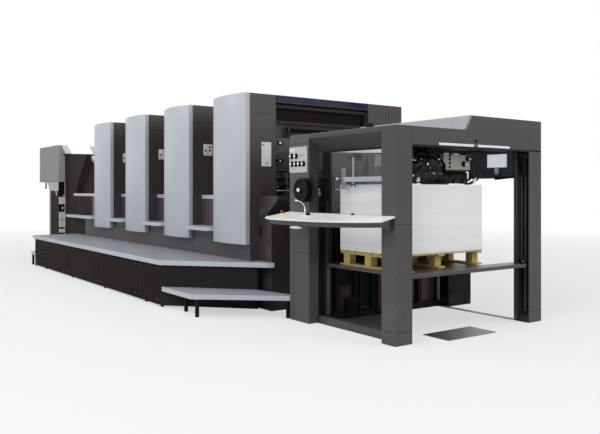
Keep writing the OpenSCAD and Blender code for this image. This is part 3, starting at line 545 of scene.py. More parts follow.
def seam(bm, facing, plane, across, at, ends, width=0.004, depth=0.006):
    # a panel joint in the face at plane: a slot at one place across, between two ends
    sides = [(at - width / 2, at + width / 2) if "xyz"[i] == across else ends for i in flatAxes(facing)]
    low, high = zip(*sides)
    cutInto(bm, facing, plane, low, high, depth)


def repaint(bm, paint, chosen):
    for f in bm.faces:
        if chosen(f):
            f.material_index = paint


def middleOf(f):
    return f.calc_center_median()


def copyOf(node):
    # the CAD mesh as clean faces: its loose triangles joined and its flats made whole
    bm = bmesh.new()
    bm.from_mesh(nodes[node].data)
    for layer in list(bm.loops.layers.uv):
        bm.loops.layers.uv.remove(layer)
    for f in bm.faces:
        f.material_index = 0
        f.smooth = False
    bmesh.ops.remove_doubles(bm, verts=bm.verts, dist=nearEnough["doubles"])
    bmesh.ops.dissolve_limit(bm, angle_limit=math.radians(0.4), verts=bm.verts, edges=bm.edges)
    bm.faces.layers.float.new("edgeWear")
    return bm


def smoothFlags(bm, least=0.0015, bend=(0.009, 0.17)):
    # small faces and those of a gentle bend, in radians, are smooth: a large plane face keeps its
    # own normal, so that the soft edges don't shade it
    bm.normal_update()
    return [f.calc_area() < least or any(bend[0] < e.calc_face_angle(0) < bend[1] for e in f.edges)
            for f in bm.faces]


def finished(name, bm, finishes, body="press", replaces=(), smoothBelow=24):
    mesh = bpy.data.meshes.new(name)
    flags = smoothFlags(bm)
    bm.to_mesh(mesh)
    bm.free()
    for finish in finishes:
        mesh.materials.append(finish.material)
    mesh.set_sharp_from_angle(angle=math.radians(smoothBelow))
    mesh.polygons.foreach_set("use_smooth", flags)
    piece = bpy.data.objects.new(name, mesh)
    bpy.context.scene.collection.objects.link(piece)
    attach(piece, body)
    if replaces:
        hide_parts(*replaces)
    return piece


def dressed(node, finishes, bevel=0.003, body="press", shape=None, segments=2):
    # a CAD node's own form with softened edges, and with what shape() adds to it
    bm = copyOf(node)
    softened(bm, bevel, segments=segments)
    if shape:
        shape(bm)
    finished(node + "Dressed", bm, finishes, body, (node,))


def rimBars(bm, low, high, rim, level):
    # four bars round an opening that spans z and the level direction
    low, high = Vector(low), Vector(high)
    side, across = axes[level] * rim, axes[level] * (high[level] - low[level] - rim)
    rise = axes[2] * (high.z - low.z - rim)
    for start, end in ((low, high - across), (low + across, high),
                       (low + side, high - side - rise), (low + side + rise, high - side)):
        block(bm, start, end)


unitLook = {
    "bevel": 0.004,
    "driveSeam": 1.112,
    "levelSeam": 1.955,
    "doorSeam": 1.602,
    "roofSeams": (-0.44, 0.80),
    "baseWall": -0.752,
}


def dressUnits(c):
    for i in range(1, 5):
        low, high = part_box(f"unit_tower_{i}")

        def endWall(bm, low=low, high=high):
            seam(bm, right, high.x, "y", c["driveSeam"], (low.z + 0.06, high.z - 0.05))
            for ends in ((-0.70, -0.46), (c["driveSeam"] + 0.012, high.y - 0.03)):
                seam(bm, right, high.x, "z", c["levelSeam"], ends)
            # drive side: two tall doors with a joint between them
            for x in (low.x + 0.03, (low.x + high.x) / 2, high.x - 0.03):
                seam(bm, away, high.y, "x", x, (1.16, high.z - 0.05))
            seam(bm, away, high.y, "z", c["doorSeam"], (low.x + 0.04, high.x - 0.04))
            for y in c["roofSeams"]:
                seam(bm, up, high.z, "y", y, (low.x + 0.02, high.x - 0.02))
            # faces turned to the operator side take the lighter copy of the umber: painted light
            repaint(bm, 1, lambda f: f.normal.y < -0.3 and middleOf(f).y < 0)

        def baseWall(bm, i=i):
            low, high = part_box(f"unit_base_{i}")
            seam(bm, near, c["baseWall"], "x", high.x - 0.667, (0.16, 0.70))
            seam(bm, near, c["baseWall"], "z", 0.302, (low.x + 0.03, high.x - 0.03))
            for x in (low.x + 0.30, low.x + 0.60, low.x + 0.92):
                seam(bm, away, high.y, "x", x, (0.16, 1.04))
            seam(bm, away, high.y, "z", 0.562, (low.x + 0.02, high.x - 0.02))

        dressed(f"unit_tower_{i}", [umber, umberPaintedLight], c["bevel"], shape=endWall)
        # the base takes the lighter copy of the umber: painted light
        dressed(f"unit_base_{i}", [umberBasePaintedLight], c["bevel"], shape=baseWall)
        dressed(f"unit_cover_{i}", [coverPaint], 0.006, segments=3)


dressUnits(unitLook)
# the bed under the units takes the shadow paint: painted shade
dressed("bed", [umberPaintedShadow], 0.003)

# drive side of the units: louvres, door handles and hinges
driveSide = {
    "louvreRows": 7,
    "louvrePitch": 0.022,
    "louvreWidth": 0.21,
    "handle": (1.26, 1.38),
    "hinges": (1.24, 1.52, 1.68, 1.98),
}


def louvres(bm, middle, facing, width, rows, pitch):
    # a field of pressed louvres along x: a slanted lip for each row
    half = Vector((width / 2, 0, 0))
    lip = Vector(facing) * 0.006 - Vector((0, 0, pitch * 0.45))
    for k in range(rows):
        root = Vector((*middle[:2], middle[2] + (k - (rows - 1) / 2) * pitch))
        a, b = root - half, root + half
        sheetCut(bm, [a, b, b + lip, a + lip], Vector(facing) * -0.002, 0, 0.0006)


def driveSideFittings(c):
    bm = freshMesh()
    for i in range(1, 5):
        low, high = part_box(f"unit_tower_{i}")
        wall, half = high.y, (high.x - low.x) / 2
        for x in (low.x + half / 2, high.x - half / 2):
            louvres(bm, (x, wall - 0.007, 1.86), away, c["louvreWidth"], c["louvreRows"], c["louvrePitch"])
            block(bm, (x + 0.09, wall - 0.004, c["handle"][0]), (x + 0.115, wall - 0.0005, c["handle"][1]), 1)
        for x in (low.x + 0.05, high.x - 0.05):
            for z in c["hinges"]:
                rod(bm, (x, wall - 0.006, z - 0.03), (x, wall - 0.006, z + 0.03), 0.006, 2, 12)
        low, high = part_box(f"unit_base_{i}")
        for k in range(3):
            x = low.x + 0.16 + k * 0.31
            louvres(bm, (x, high.y - 0.007, 0.36), away, 0.20, 9, c["louvrePitch"])
            block(bm, (x - 0.02, high.y - 0.004, 0.80), (x + 0.02, high.y - 0.0005, 0.86), 1)
    finished("driveSideFittings", bm, [umber, blackPlastic, darkSteel])


driveSideFittings(driveSide)

# grilles: a mesh of thin bars in a frame, in the recess of each tower
grilleLook = {
    "rim": 0.028,
    "barPitch": 0.016,
    "rowPitch": 0.031,
    "bar": 0.0028,
    "fields": ((-0.442, -0.185, 0.0), (-0.272, None, -0.205)),  # operator end, lower and upper edge
    "driveEnd": 0.802,
}


def grilleField(bm, low, high, c):
    rim, half = c["rim"], Vector((0, c["bar"] / 2, c["bar"] / 2))
    back = high.x - 0.012
    rimBars(bm, (back, low.y, low.z), high, rim, 1)
    for axis, pitch, front in ((1, c["barPitch"], 0.006), (2, c["rowPitch"], 0.003)):
        span = high[axis] - low[axis] - 2 * rim
        count = int(span / pitch)
        for k in range(1, count):
            start = Vector((back + front, low.y + rim, low.z + rim))
            end = Vector((back + front + 0.003, high.y - rim, high.z - rim))
            start[axis] = end[axis] = low[axis] + rim + k * span / count
            start[axis] -= half[axis]
            end[axis] += half[axis]
            block(bm, start, end, 1, 0)
    # a dark back plate in the shadow paint behind the bars: painted shade in the recess
    inset = Vector((0, rim / 2, rim / 2))
    block(bm, low + inset, Vector((low.x + 0.003, high.y, high.z)) - inset, 2, 0.001)


def towerGrilles(c):
    low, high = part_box("tower_grilles")
    bm = freshMesh()
    for i in range(1, 5):
        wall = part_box(f"unit_tower_{i}")[1].x
        for operatorEnd, bottom, top in c["fields"]:
            floor = low.z if bottom is None else high.z + bottom
            grilleField(bm, Vector((wall - 0.09, operatorEnd, floor)),
                        Vector((wall - 0.03, c["driveEnd"], high.z + top)), c)
    finished("towerGrilleMesh", bm, [channelPaint, blackMetal, umberPaintedShadow],
             replaces=("tower_grilles",))


towerGrilles(grilleLook)
dressed("roller_guards", [charcoal], 0.004)
dressed("tinted_guards", [tinted], 0.002)

# switch panels: a plate with a rim and small dark keys; the first unit's tall one has two marks only
switchLook = {
    "marks": ((-0.598, 1.640), (-0.560, 1.452)),
    "markHalf": (0.011, 0.006),
    "keyHalf": (0.013, 0.011),
    "lamps": (-0.585, -0.540),
}


def switchPanels(c):
    bm = copyOf("switch_panels")
    softened(bm, 0.002)

    def key(front, y, z, half, paint):
        block(bm, (front - 0.0005, y - half[0], z - half[1]), (front + 0.002, y + half[0], z + half[1]), paint, 0.001)

    for i in range(1, 5):
        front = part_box(f"unit_tower_{i}")[1].x + 0.008
        if i == 1:
            for y, z in c["marks"]:
                key(front, y, z, c["markHalf"], 1)
            continue
        for k, j in ((0, 0), (0, 1), (1, 0), (1, 1)):
            key(front, -0.592 + j * 0.052, 1.676 - k * 0.040, c["keyHalf"], 1 if k + j else 2)
        for k, y in enumerate(c["lamps"]):
            rod(bm, (front - 0.001, y, 1.602), (front + 0.004, y, 1.602), 0.007, 3 + k, 16)
    finished("switchPanelKeys", bm, [whitePanel, charcoal, whitePlastic, redPlastic, yellowPlastic],
             replaces=("switch_panels",))


switchPanels(switchLook)
print("units dressed")


treadLook = {
    "plateJoints": (-1.169, 0.041, 1.274),
    "jointGap": 0.014,
    "slantLip": 0.0077,      # how far the slanted panel's corner stands before the long front
    "ventHeights": (0.302, 0.235, 0.160),
    "ventHeight": 0.026,
    "ventEnds": (-2.78, -1.90),
    "frontEnd": 1.78,        # where the long front gives way to the slanted panel
}


def edgesHighlighted(bm):
    # side faces take the paler, shinier edge paint, a painted highlight along the front edges; tops keep the studded
    # sheet
    repaint(bm, 1, lambda f: abs(f.normal.z) < 0.7)


def edgeGrooves(bm, low, high, drops):
    # level grooves along the front edge, each 3 mm high
    for drop in drops:
        cutInto(bm, near, low.y, (low.x - 0.01, high.z - drop - 0.003), (high.x + 0.01, high.z - drop), 0.003)


def treadNode(node):
    def edge(bm):
        edgesHighlighted(bm)
        edgeGrooves(bm, *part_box(node), (0.012, 0.026))

    dressed(node, [treadSheet, treadEdgeHighlight], shape=edge)


def stepNode(node):
    # a step whose square legs are black
    low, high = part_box(node)
    under = high.z - 0.046

    def legs(bm):
        edgesHighlighted(bm)
        repaint(bm, 2, lambda f: max(v.co.z for v in f.verts) < under + 0.002 and middleOf(f).z < under - 0.003)
        cutInto(bm, near, low.y, (low.x, high.z - 0.018), (high.x, high.z - 0.014), 0.003)

    dressed(node, [treadSheet, treadEdgeHighlight, blackMetal], 0.002, shape=legs)


def galleryPieces(c):
    treadNode("lower_treads")
    treadNode("walkway_plates")
    stepNode("feeder_step")
    stepNode("delivery_step")

    def deck(bm):
        low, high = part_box("gallery_deck")
        edgesHighlighted(bm)
        for x in c["plateJoints"]:
            seam(bm, up, high.z, "x", x, (low.y + 0.03, -0.76), 0.004, 0.003)
        edgeGrooves(bm, low, high, (0.014, 0.030))

    dressed("gallery_deck", [deckSheet, treadEdgeHighlight], shape=deck)

    low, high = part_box("gallery_panels")
    front = low.y + c["slantLip"]
    start, end = c["ventEnds"]
    half = c["ventHeight"] / 2

    def panels(bm):
        # joints, vents and the groove under the top edge are sunk and take the shadow paint: painted shade in the
        # recesses
        for x in c["plateJoints"]:
            cutInto(bm, near, front, (x - c["jointGap"] / 2, low.z), (x + c["jointGap"] / 2, high.z), 0.012, 1)
        for z in c["ventHeights"]:
            cutInto(bm, near, front, (start, z - half), (end, z + half), 0.014, 1)
        cutInto(bm, near, front, (low.x + 0.02, high.z - 0.016), (c["frontEnd"] + 0.02, high.z - 0.006), 0.008, 1)
        # faces turned to the feeder end take their own shaded copy of the umber, a little lighter than the front:
        # painted shade
        repaint(bm, 2, lambda f: f.material_index == 0 and f.normal.x > 0.15)

    dressed("gallery_panels", [umberLowPaintedShade, umberPaintedShadow, umberSlantPaintedShade], 0.002, shape=panels)

    # vent lips, and quarter-turn fasteners at the panel corners
    bm = freshMesh()
    for z in c["ventHeights"]:
        root, lip = (front + 0.001, z + half + 0.002), (front - 0.005, z + half - 0.004)
        sheetCut(bm, [(start, *root), (end, *root), (end, *lip), (start, *lip)], (0, 0.0015, 0.0015), 0, 0)
    for x in (low.x + 0.05, *[x + s for x in c["plateJoints"] for s in (-0.05, 0.05)], c["frontEnd"]):
        for z in (0.07, 0.39):
            turned(bm, [(0, 0.003), (0.007, 0.0025), (0.010, 0)], (x, front + 0.0005, z), near, 1, 16)
    finished("galleryPanelFittings", bm, [umberLowPaintedShade, railSteel])

    # adjustable feet: threaded stem, nuts and round pad
    bm = freshMesh()
    low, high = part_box("gallery_feet")
    y = (low.y + high.y) / 2
    for x in (*[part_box(f"unit_tower_{i}")[1].x - 1.057 for i in range(1, 5)], high.x - 0.018):
        turned(bm, [(0, 0), (0.017, 0), (0.018, 0.004), (0.016, 0.012), (0.009, 0.016), (0, 0.016)],
               (x, y, 0), up, 0, 28)
        for bottom, top, radius, sides in ((0.014, high.z, 0.010, 20), (0.040, 0.056, 0.0165, 6),
                                           (high.z - 0.02, high.z, 0.0165, 6)):
            rod(bm, (x, y, bottom), (x, y, top), radius, 1, sides)
    finished("galleryFeetAdjusters", bm, [rubber, darkSteel], replaces=("gallery_feet",))


galleryPieces(treadLook)
print("gallery dressed")


infeedLook = {
    "wall": 2.480,           # end wall of the first unit
    "across": (-0.438, 0.798),
    "rollers": ((-0.045, 1.30, 0.016, 3), (-0.033, 1.235, 0.024, 3), (-0.045, 1.175, 0.010, 1)),
    "bracket": ((-0.085, 1.14), (-0.012, 1.14), (-0.004, 1.25), (-0.020, 1.36), (-0.085, 1.38)),
    "brackets": (-0.436, -0.30, 0.70, 0.788),
    "knobs": ((1.663, 0.012), (1.480, 0.007)),
    "knobAcross": -0.38,
    "clamps": (1.20, 1.30, 1.44, 1.53, 1.60),
    "belts": (-0.36, -0.18, 0.0, 0.18, 0.36),
}


def infeedPieces(c):
    low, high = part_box("infeed_housing")
    wall = low.y

    def housing(bm):
        seam(bm, near, wall, "z", 0.502, (low.x + 0.03, low.x + 0.20))
        seam(bm, near, wall, "x", low.x + 0.111, (0.50, 0.92))
        repaint(bm, 2, lambda f: middleOf(f).z > 1.135)
        repaint(bm, 1, lambda f: middleOf(f).z > 1.135 and abs(f.normal.y) < 0.6 and -0.43 < middleOf(f).y < 0.79)

    dressed("infeed_housing", [umber, chrome, charcoal], shape=housing)

    # rollers and brackets in the recess of the first unit, seen under its guard
    bm = freshMesh()
    x1, y0 = c["wall"], c["knobAcross"]
    for dx, z, radius, paint in c["rollers"]:
        rod(bm, (x1 + dx, c["across"][0], z), (x1 + dx, c["across"][1], z), radius, paint, 32)
    for y in c["brackets"]:
        sheetCut(bm, [(x1 + dx, y, z) for dx, z in c["bracket"]], (0, 0.008, 0), 2)
    block(bm, (x1 - 0.088, -0.436, 1.386), (x1 - 0.050, 0.796, 1.402), 2, 0.003)
    # clamp brackets with white knobs beside the guards
    for z, r in c["knobs"]:
        block(bm, (x1 - 0.030, y0 - 0.045, z - 0.022), (x1 - 0.002, y0 + 0.030, z + 0.022), 3, 0.004)
        turned(bm, [(0, r * 1.3), (r * 0.7, r * 1.25), (r * 0.95, r), (r, r * 0.2), (r * 0.8, 0), (0, 0)],
               (x1 - 0.002, y0 - 0.010, z), right, 4, 28)
    for z in c["clamps"]:
        block(bm, (x1 - 0.022, -0.44, z), (x1 - 0.004, -0.40, z + 0.028), 3, 0.003)
        rod(bm, (x1 - 0.006, -0.42, z + 0.014), (x1 - 0.001, -0.42, z + 0.014), 0.006, 0, 6)
    finished("infeedRollers", bm, [steel, chrome, charcoal, blackMetal, whitePlastic])

    # guard flap and latch on the operator face of the housing
    bm = freshMesh()
    sheetCut(bm, [(2.50, wall, 0.925), (2.60, wall, 0.955), (2.615, wall, 0.99), (2.50, wall, 1.005)], (0, -0.010, 0))
    block(bm, (2.515, wall - 0.022, 0.72), (2.53, wall, 0.82), 1, 0.004)
    for z in (0.30, 0.42):
        louvres(bm, (2.59, wall + 0.0005, z), near, 0.13, 4, 0.018)
    turned(bm, [(0, 0.010), (0.012, 0.009), (0.016, 0)], (2.655, wall, 0.68), near, 1, 24)
    finished("infeedSideFittings", bm, [charcoal, blackPlastic])

    # feed table, and the belts on it
    low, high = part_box("feed_table")

    def table(bm):
        repaint(bm, 1, lambda f: abs(f.normal.y) > 0.9 or f.normal.z < 0)

    dressed("feed_table", [steel, darkSteel], 0.002, shape=table)
    bm = freshMesh()
    run = Vector((high.x - low.x, 0, high.z - low.z - 0.030))
    start = Vector((low.x, 0, low.z + 0.0302))
    lift = Vector((-run.z, 0, run.x)).normalized()
    end, half = Vector((0.012, 0, 0)), Vector((0, 0.020, 0))
    for y in c["belts"]:
        across = Vector((0, y, 0))
        a, b = start + end + across, start + run - end + across
        sheetCut(bm, [a - half, a + half, b + half, b - half], lift * 0.002, 0, 0.0004)
    finished("feedTableBelts", bm, [rubber])


infeedPieces(infeedLook)
print("infeed dressed")


feederLook = {
    "bevel": 0.005,
    "beamSeam": 0.901,
    "lampBars": ((-0.257, 0.163), (0.206, 0.628)),
    "lampHeight": 1.551,
    "lowRail": 0.004,
    "lipHeight": 1.537,      # lower edge of the end beam's face, above its black rebate
    "footSeam": 0.102,
    "backPosts": (-0.145, 0.068),
    "floorSheet": ((4.30, -0.627), (4.30, -0.42), (3.78, 0.0), (3.66, 0.16)),
    "screws": (-0.53, -0.30, 0.86, 0.94, 1.05),
}


def feederColumns(c):
    foot = c["footSeam"]

    def nearOperator(bm):
        low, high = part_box("feeder_column_near_operator")
        seam(bm, right, high.x, "z", 0.922, (-0.715, -0.563))
        seam(bm, near, low.y, "z", foot, (low.x + 0.02, high.x - 0.02))
        seam(bm, right, high.x, "z", foot, (-0.715, -0.563))

    def nearDrive(bm):
        low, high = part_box("feeder_column_near_drive")

        def dark(f):
            m = middleOf(f)
            across = low.y + 0.002 < m.y < low.y + 0.062 and low.x + 0.055 < m.x < high.x - 0.01
            return across and 0.05 < m.z < 1.47 or f.normal.y < -0.5

        # faces turned to the operator side, and the inner faces just behind that face, take the dark channel paint:
        # painted shade on the column's inner side
        repaint(bm, 1, dark)
        seam(bm, right, high.x, "z", foot, (low.y + 0.01, high.y - 0.01))

    def farOperator(bm):
        low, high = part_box("feeder_column_far_operator")
        seam(bm, near, low.y, "z", 0.622, (low.x + 0.01, high.x - 0.01))
        seam(bm, near, low.y, "x", low.x + 0.062, (0.04, 0.62))
        seam(bm, near, low.y, "z", 1.598, (low.x + 0.01, high.x - 0.01))

    def farDrive(bm):
        low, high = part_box("feeder_column_far_drive")
        for z in (0.502, 1.022):
            seam(bm, away, high.y, "z", z, (low.x + 0.02, high.x - 0.02))

    for end, shape, finishes in (("near_operator", nearOperator, [charcoalWallPaintedShade]),
                                 ("near_drive", nearDrive, [charcoalWallPaintedShade, channelPaint]),
                                 ("far_operator", farOperator, [charcoal]), ("far_drive", farDrive, [charcoal])):
        dressed("feeder_column_" + end, finishes, c["bevel"], shape=shape)


def feederTop(c):
    lamp = c["lampHeight"]

    def operatorBeam(bm):
        low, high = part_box("feeder_operator_beam")
        for x in (low.x + 0.3115, low.x + 0.6315):
            seam(bm, up, high.z, "x", x, (low.y + 0.01, high.y - 0.01), 0.003, 0.004)

    def endBeam(bm):
        low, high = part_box("feeder_end_beam")
        seam(bm, right, high.x, "y", c["beamSeam"], (low.z + 0.03, 1.665))
        cutInto(bm, right, high.x, (low.y + 0.012, low.z + 0.003), (high.y - 0.012, c["lipHeight"]), 0.012, 1)
        for start, end in c["lampBars"]:
            cutInto(bm, right, high.x, (start, lamp - 0.011), (end, lamp + 0.011), 0.008, 1)
        repaint(bm, 1, lambda f: f.normal.z < -0.9)
        # faces of the slanted step that look up take the pale paint: painted light from above
        repaint(bm, 2, lambda f: f.normal.x < 0.5 and f.normal.z > 0.2 and middleOf(f).z > 1.6)

    def roof(bm):
        low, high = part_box("feeder_roof")
        for x in (low.x + 0.4015, low.x + 0.8215):
            seam(bm, up, 1.680, "x", x, (low.y + 0.02, 0.03), 0.003, 0.004)
            seam(bm, up, high.z, "x", x, (0.13, high.y - 0.02), 0.003, 0.006)

    dressed("feeder_operator_beam", [charcoalWallPaintedShade], c["bevel"], shape=operatorBeam)
    dressed("feeder_end_beam", [beamPaint, blackMetal, palePaint], c["bevel"], shape=endBeam)
    # the beam on the drive side takes the darker copy: painted shade
    dressed("feeder_drive_beam", [driveWallPaintedShade], c["bevel"])
    # the roof takes the pale paint: its slanted covers look pale from the light they reflect from above, a painted
    # reflection
    dressed("feeder_roof", [palePaint], shape=roof)


def feederFloor(c):
    def sills(bm):
        # the sill away from the operator is a low floor rail
        for v in bm.verts:
            if v.co.y > 0 and v.co.z > 0.03:
                v.co.z = c["lowRail"]
        repaint(bm, 1, lambda f: middleOf(f).y > 0)

    dressed("feeder_sills", [charcoal, palePaint], 0.002, shape=sills)
    dressed("feeder_back_frame", [blackMetal])
    low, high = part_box("feeder_back_frame")
    bm = freshMesh()
    # brown sheets between the posts, a junction box, and a dark sheet on the floor inside the near sill
    block(bm, (low.x + 0.004, low.y + 0.01, 0.05), (low.x + 0.010, high.y - 0.01, high.z - 0.03), 0, 0)
    for k in range(9):
        y = low.y + 0.06 + k * 0.083
        block(bm, (low.x + 0.010, y, 0.10), (low.x + 0.014, y + 0.012, high.z - 0.06), 0, 0.001)
    block(bm, (high.x - 0.040, -0.292, 0.066), (high.x - 0.002, -0.150, 0.190), 1, 0.006)
    for z in (0.095, 0.125, 0.155):
        turned(bm, [(0, 0.010), (0.008, 0.010), (0.010, 0.006), (0.010, 0)], (high.x - 0.003, -0.255, z), right, 1, 16)
    for y in c["backPosts"]:
        block(bm, (high.x - 0.004, y, 0.010), (high.x + 0.012, y + 0.020, high.z - 0.05), 1)
    sheet = [(high.x, c["floorSheet"][0][1]), *c["floorSheet"], (high.x, c["floorSheet"][-1][1])]
    sheetCut(bm, [(x, y, 0.0) for x, y in sheet], (0, 0, 0.002), 2, 0)
    finished("feederBackPanels", bm, [backSheet, flatBlack, floorSheet])
    dressed("lift_rails", [railSteel], 0.002)
    dressed("cable_cabinet", [cabinetPaint], 0.004)
    dressed("entry_plate", [darkSteel], 0.001)


def feederFittings(c):
    # lamp strips, light-curtain sensor and screws on the end beam
    bm = freshMesh()
    x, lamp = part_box("feeder_end_beam")[1].x, c["lampHeight"]
    for start, end in c["lampBars"]:
        block(bm, (x - 0.008, start + 0.002, lamp - 0.010), (x + 0.001, end - 0.002, lamp + 0.010))
    block(bm, (x - 0.004, 0.170, lamp - 0.010), (x + 0.002, 0.200, lamp + 0.022), 3, 0.003)
    turned(bm, [(0, 0.0030), (0.014, 0.0028), (0.018, 0)], (x - 0.0005, 0.184, lamp + 0.036), right, 1, 24)
    # pale joint strip along the slanted step
    sheetCut(bm, [(x - 0.0005, y, z) for y, z in ((0.056, 1.683), (0.066, 1.683), (0.130, 1.794), (0.120, 1.794))],
             (0.0015, 0, 0), 4, 0.0002)
    for y in c["screws"]:
        for z in (1.60, 1.65):
            turned(bm, [(0, 0.002), (0.004, 0.0016), (0.005, 0)], (x - 0.0016, y, z), right, 3, 12)
    finished("endBeamLamps", bm, [lampGlow, flatBlack, chrome, charcoal, palePaint])

    # drive side door furniture and roof cover hinges
    bm = freshMesh()
    low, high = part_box("feeder_column_far_drive")
    wall = high.y
    for z in (0.30, 0.76, 1.28):
        block(bm, (high.x - 0.05, wall - 0.004, z - 0.035), (high.x - 0.028, wall - 0.0003, z + 0.035), 1)
    louvres(bm, (low.x + 0.15, wall - 0.007, 1.22), away, 0.18, 8, 0.022)
    for x in (3.55, 3.95, 4.30):
        rod(bm, (x - 0.03, wall - 0.007, 1.655), (x + 0.03, wall - 0.007, 1.655), 0.006, 1, 12)
    finished("feederDriveDoorFittings", bm, [charcoal, blackPlastic])


feederColumns(feederLook)
feederTop(feederLook)
feederFloor(feederLook)
feederFittings(feederLook)


# drive end column: chain, rail foot, control box; inner wall: display, tray and panel
driveEnd = {
    "chainPitch": 0.019,
    "chains": ((4.4455, 0.905, 0.56, 1.38), (4.468, 0.925, 0.10, 1.44)),    # x, y, bottom, top
    "boxFace": 0.879,
    "buttons": (
        (4.411, 1.490, ((0, 0.016), (0.011, 0.015), (0.014, 0.011), (0.014, 0.006), (0.018, 0.005), (0.018, 0))),
        (4.455, 1.462, ((0, 0.018), (0.012, 0.017), (0.015, 0.012), (0.015, 0.004), (0.020, 0.003), (0.020, 0))),
    ),
    "displayLow": (4.102, 1.388),
    "displayHigh": (4.329, 1.516),
    "tray": ((4.18, 1.304), (4.38, 1.304), (4.38, 1.292), (4.18, 1.276)),
}


def chainRun(bm, x, y, bottom, top, pitch):
    # a leaf chain: plates in turn wide and narrow, with a pin at every joint
    for k in range(int((top - bottom) / pitch)):
        z = bottom + k * pitch
        half, thick = (0.0045, 0.010) if k % 2 else (0.0065, 0.006)
        sheetCut(bm, [(x - half, y, z), (x + half, y, z), (x + half, y, z + pitch * 1.15),
                      (x - half, y, z + pitch * 1.15)], (0, thick, 0), 0, 0.0008)
        rod(bm, (x - 0.009, y + 0.004, z), (x + 0.009, y + 0.004, z), 0.0028, 1, 8, 0)


def driveEndPieces(c):
    bm = freshMesh()
    for chain in c["chains"]:
        chainRun(bm, *chain, c["chainPitch"])
    block(bm, (4.496, 0.902, 0.10), (4.506, 0.950, 1.42), 2)
    finished("liftChains", bm, [darkSteel, steel, blackMetal])

    bm = freshMesh()
    block(bm, (4.391, 0.878, 1.319), (4.500, 0.8935, 1.514), 0, 0.004)
    for paint, (x, z, outline) in enumerate(c["buttons"], 1):
        turned(bm, outline, (x, c["boxFace"], z), near, paint, 28)
    block(bm, (4.398, 0.8768, 1.330), (4.493, c["boxFace"], 1.440), 3, 0.001)
    finished("columnControlBox", bm, [channelPaint, redDark, flatBlack, blackMetal])

    # inner wall of the drive side: a folded panel, ledge, display and a hanging holder
    low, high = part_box("drive_inner_panel")

    def panel(bm):
        for x in (low.x + 0.162, low.x + 0.332):
            seam(bm, near, low.y, "x", x, (low.z + 0.02, high.z - 0.02))

    dressed("drive_inner_panel", [bluePanel], shape=panel)
    bm = freshMesh()
    y, a, b = low.y, c["displayLow"], c["displayHigh"]
    block(bm, (a[0], y - 0.022, a[1]), (b[0], y, b[1]), 2, 0.004)
    block(bm, (a[0] + 0.004, y - 0.0235, a[1] + 0.004), (b[0] - 0.004, y - 0.0215, b[1] - 0.004), 1, 0.0005)
    block(bm, (3.96, y - 0.045, 1.318), (4.372, y, 1.326))
    block(bm, (4.191, y - 0.026, 1.327), (4.228, y - 0.010, 1.386), 3)
    sheetCut(bm, [(x, y - 0.012, z) for x, z in c["tray"]], (0, 0.012, 0), 4, 0.002)
    for x in (3.92, 4.03, 4.35):
        turned(bm, [(0, 0.003), (0.004, 0.002), (0.005, 0)], (x, y + 0.0004, 1.50), near, 0, 16)
    finished("operatingDisplay", bm, [bluePanel, screen, hoodPaint, whitePlastic, blackMetal])


driveEndPieces(driveEnd)
print("feeder frame dressed")


# guard window with its frame, the glowing wedge seen over it and what shows through it
windowLook = {
    "frame": 0.014,
    "lampWedge": ((3.60, 1.521), (4.226, 1.521), (4.226, 1.482), (3.60, 1.515)),
    "stop": 3.849,
    "stopFoot": ((0, 1.245), (0.030, 1.225), (0.026, 1.205), (0.004, 1.232)),
    "gearPlane": -0.565,
    "ladder": (3.455, 3.495),
    "ladderPlane": -0.585,
    "disc": (3.50, -0.560, 1.184),
    "discRadius": 0.100,
}


def windowFrame(c):
    low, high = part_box("guard_window")
    rim = c["frame"]
    inset = Vector((rim, 0.002, rim))
    bm = freshMesh()
    block(bm, low + inset, high - inset, 0, 0.001)
    finished("windowPane", bm, [acrylic], replaces=("guard_window",))
    bm = freshMesh()
    rimBars(bm, low, high, rim, 0)
    # a glowing wedge behind the beam's lower edge
    sheetCut(bm, [(x, -0.596, z) for x, z in c["lampWedge"]], (0, 0.026, 0), 1, 0.001)
    block(bm, (3.59, -0.598, 1.516), (4.23, -0.590, 1.5235), 0, 0.001)
    finished("windowFrame", bm, [blackMetal, lampGlow])


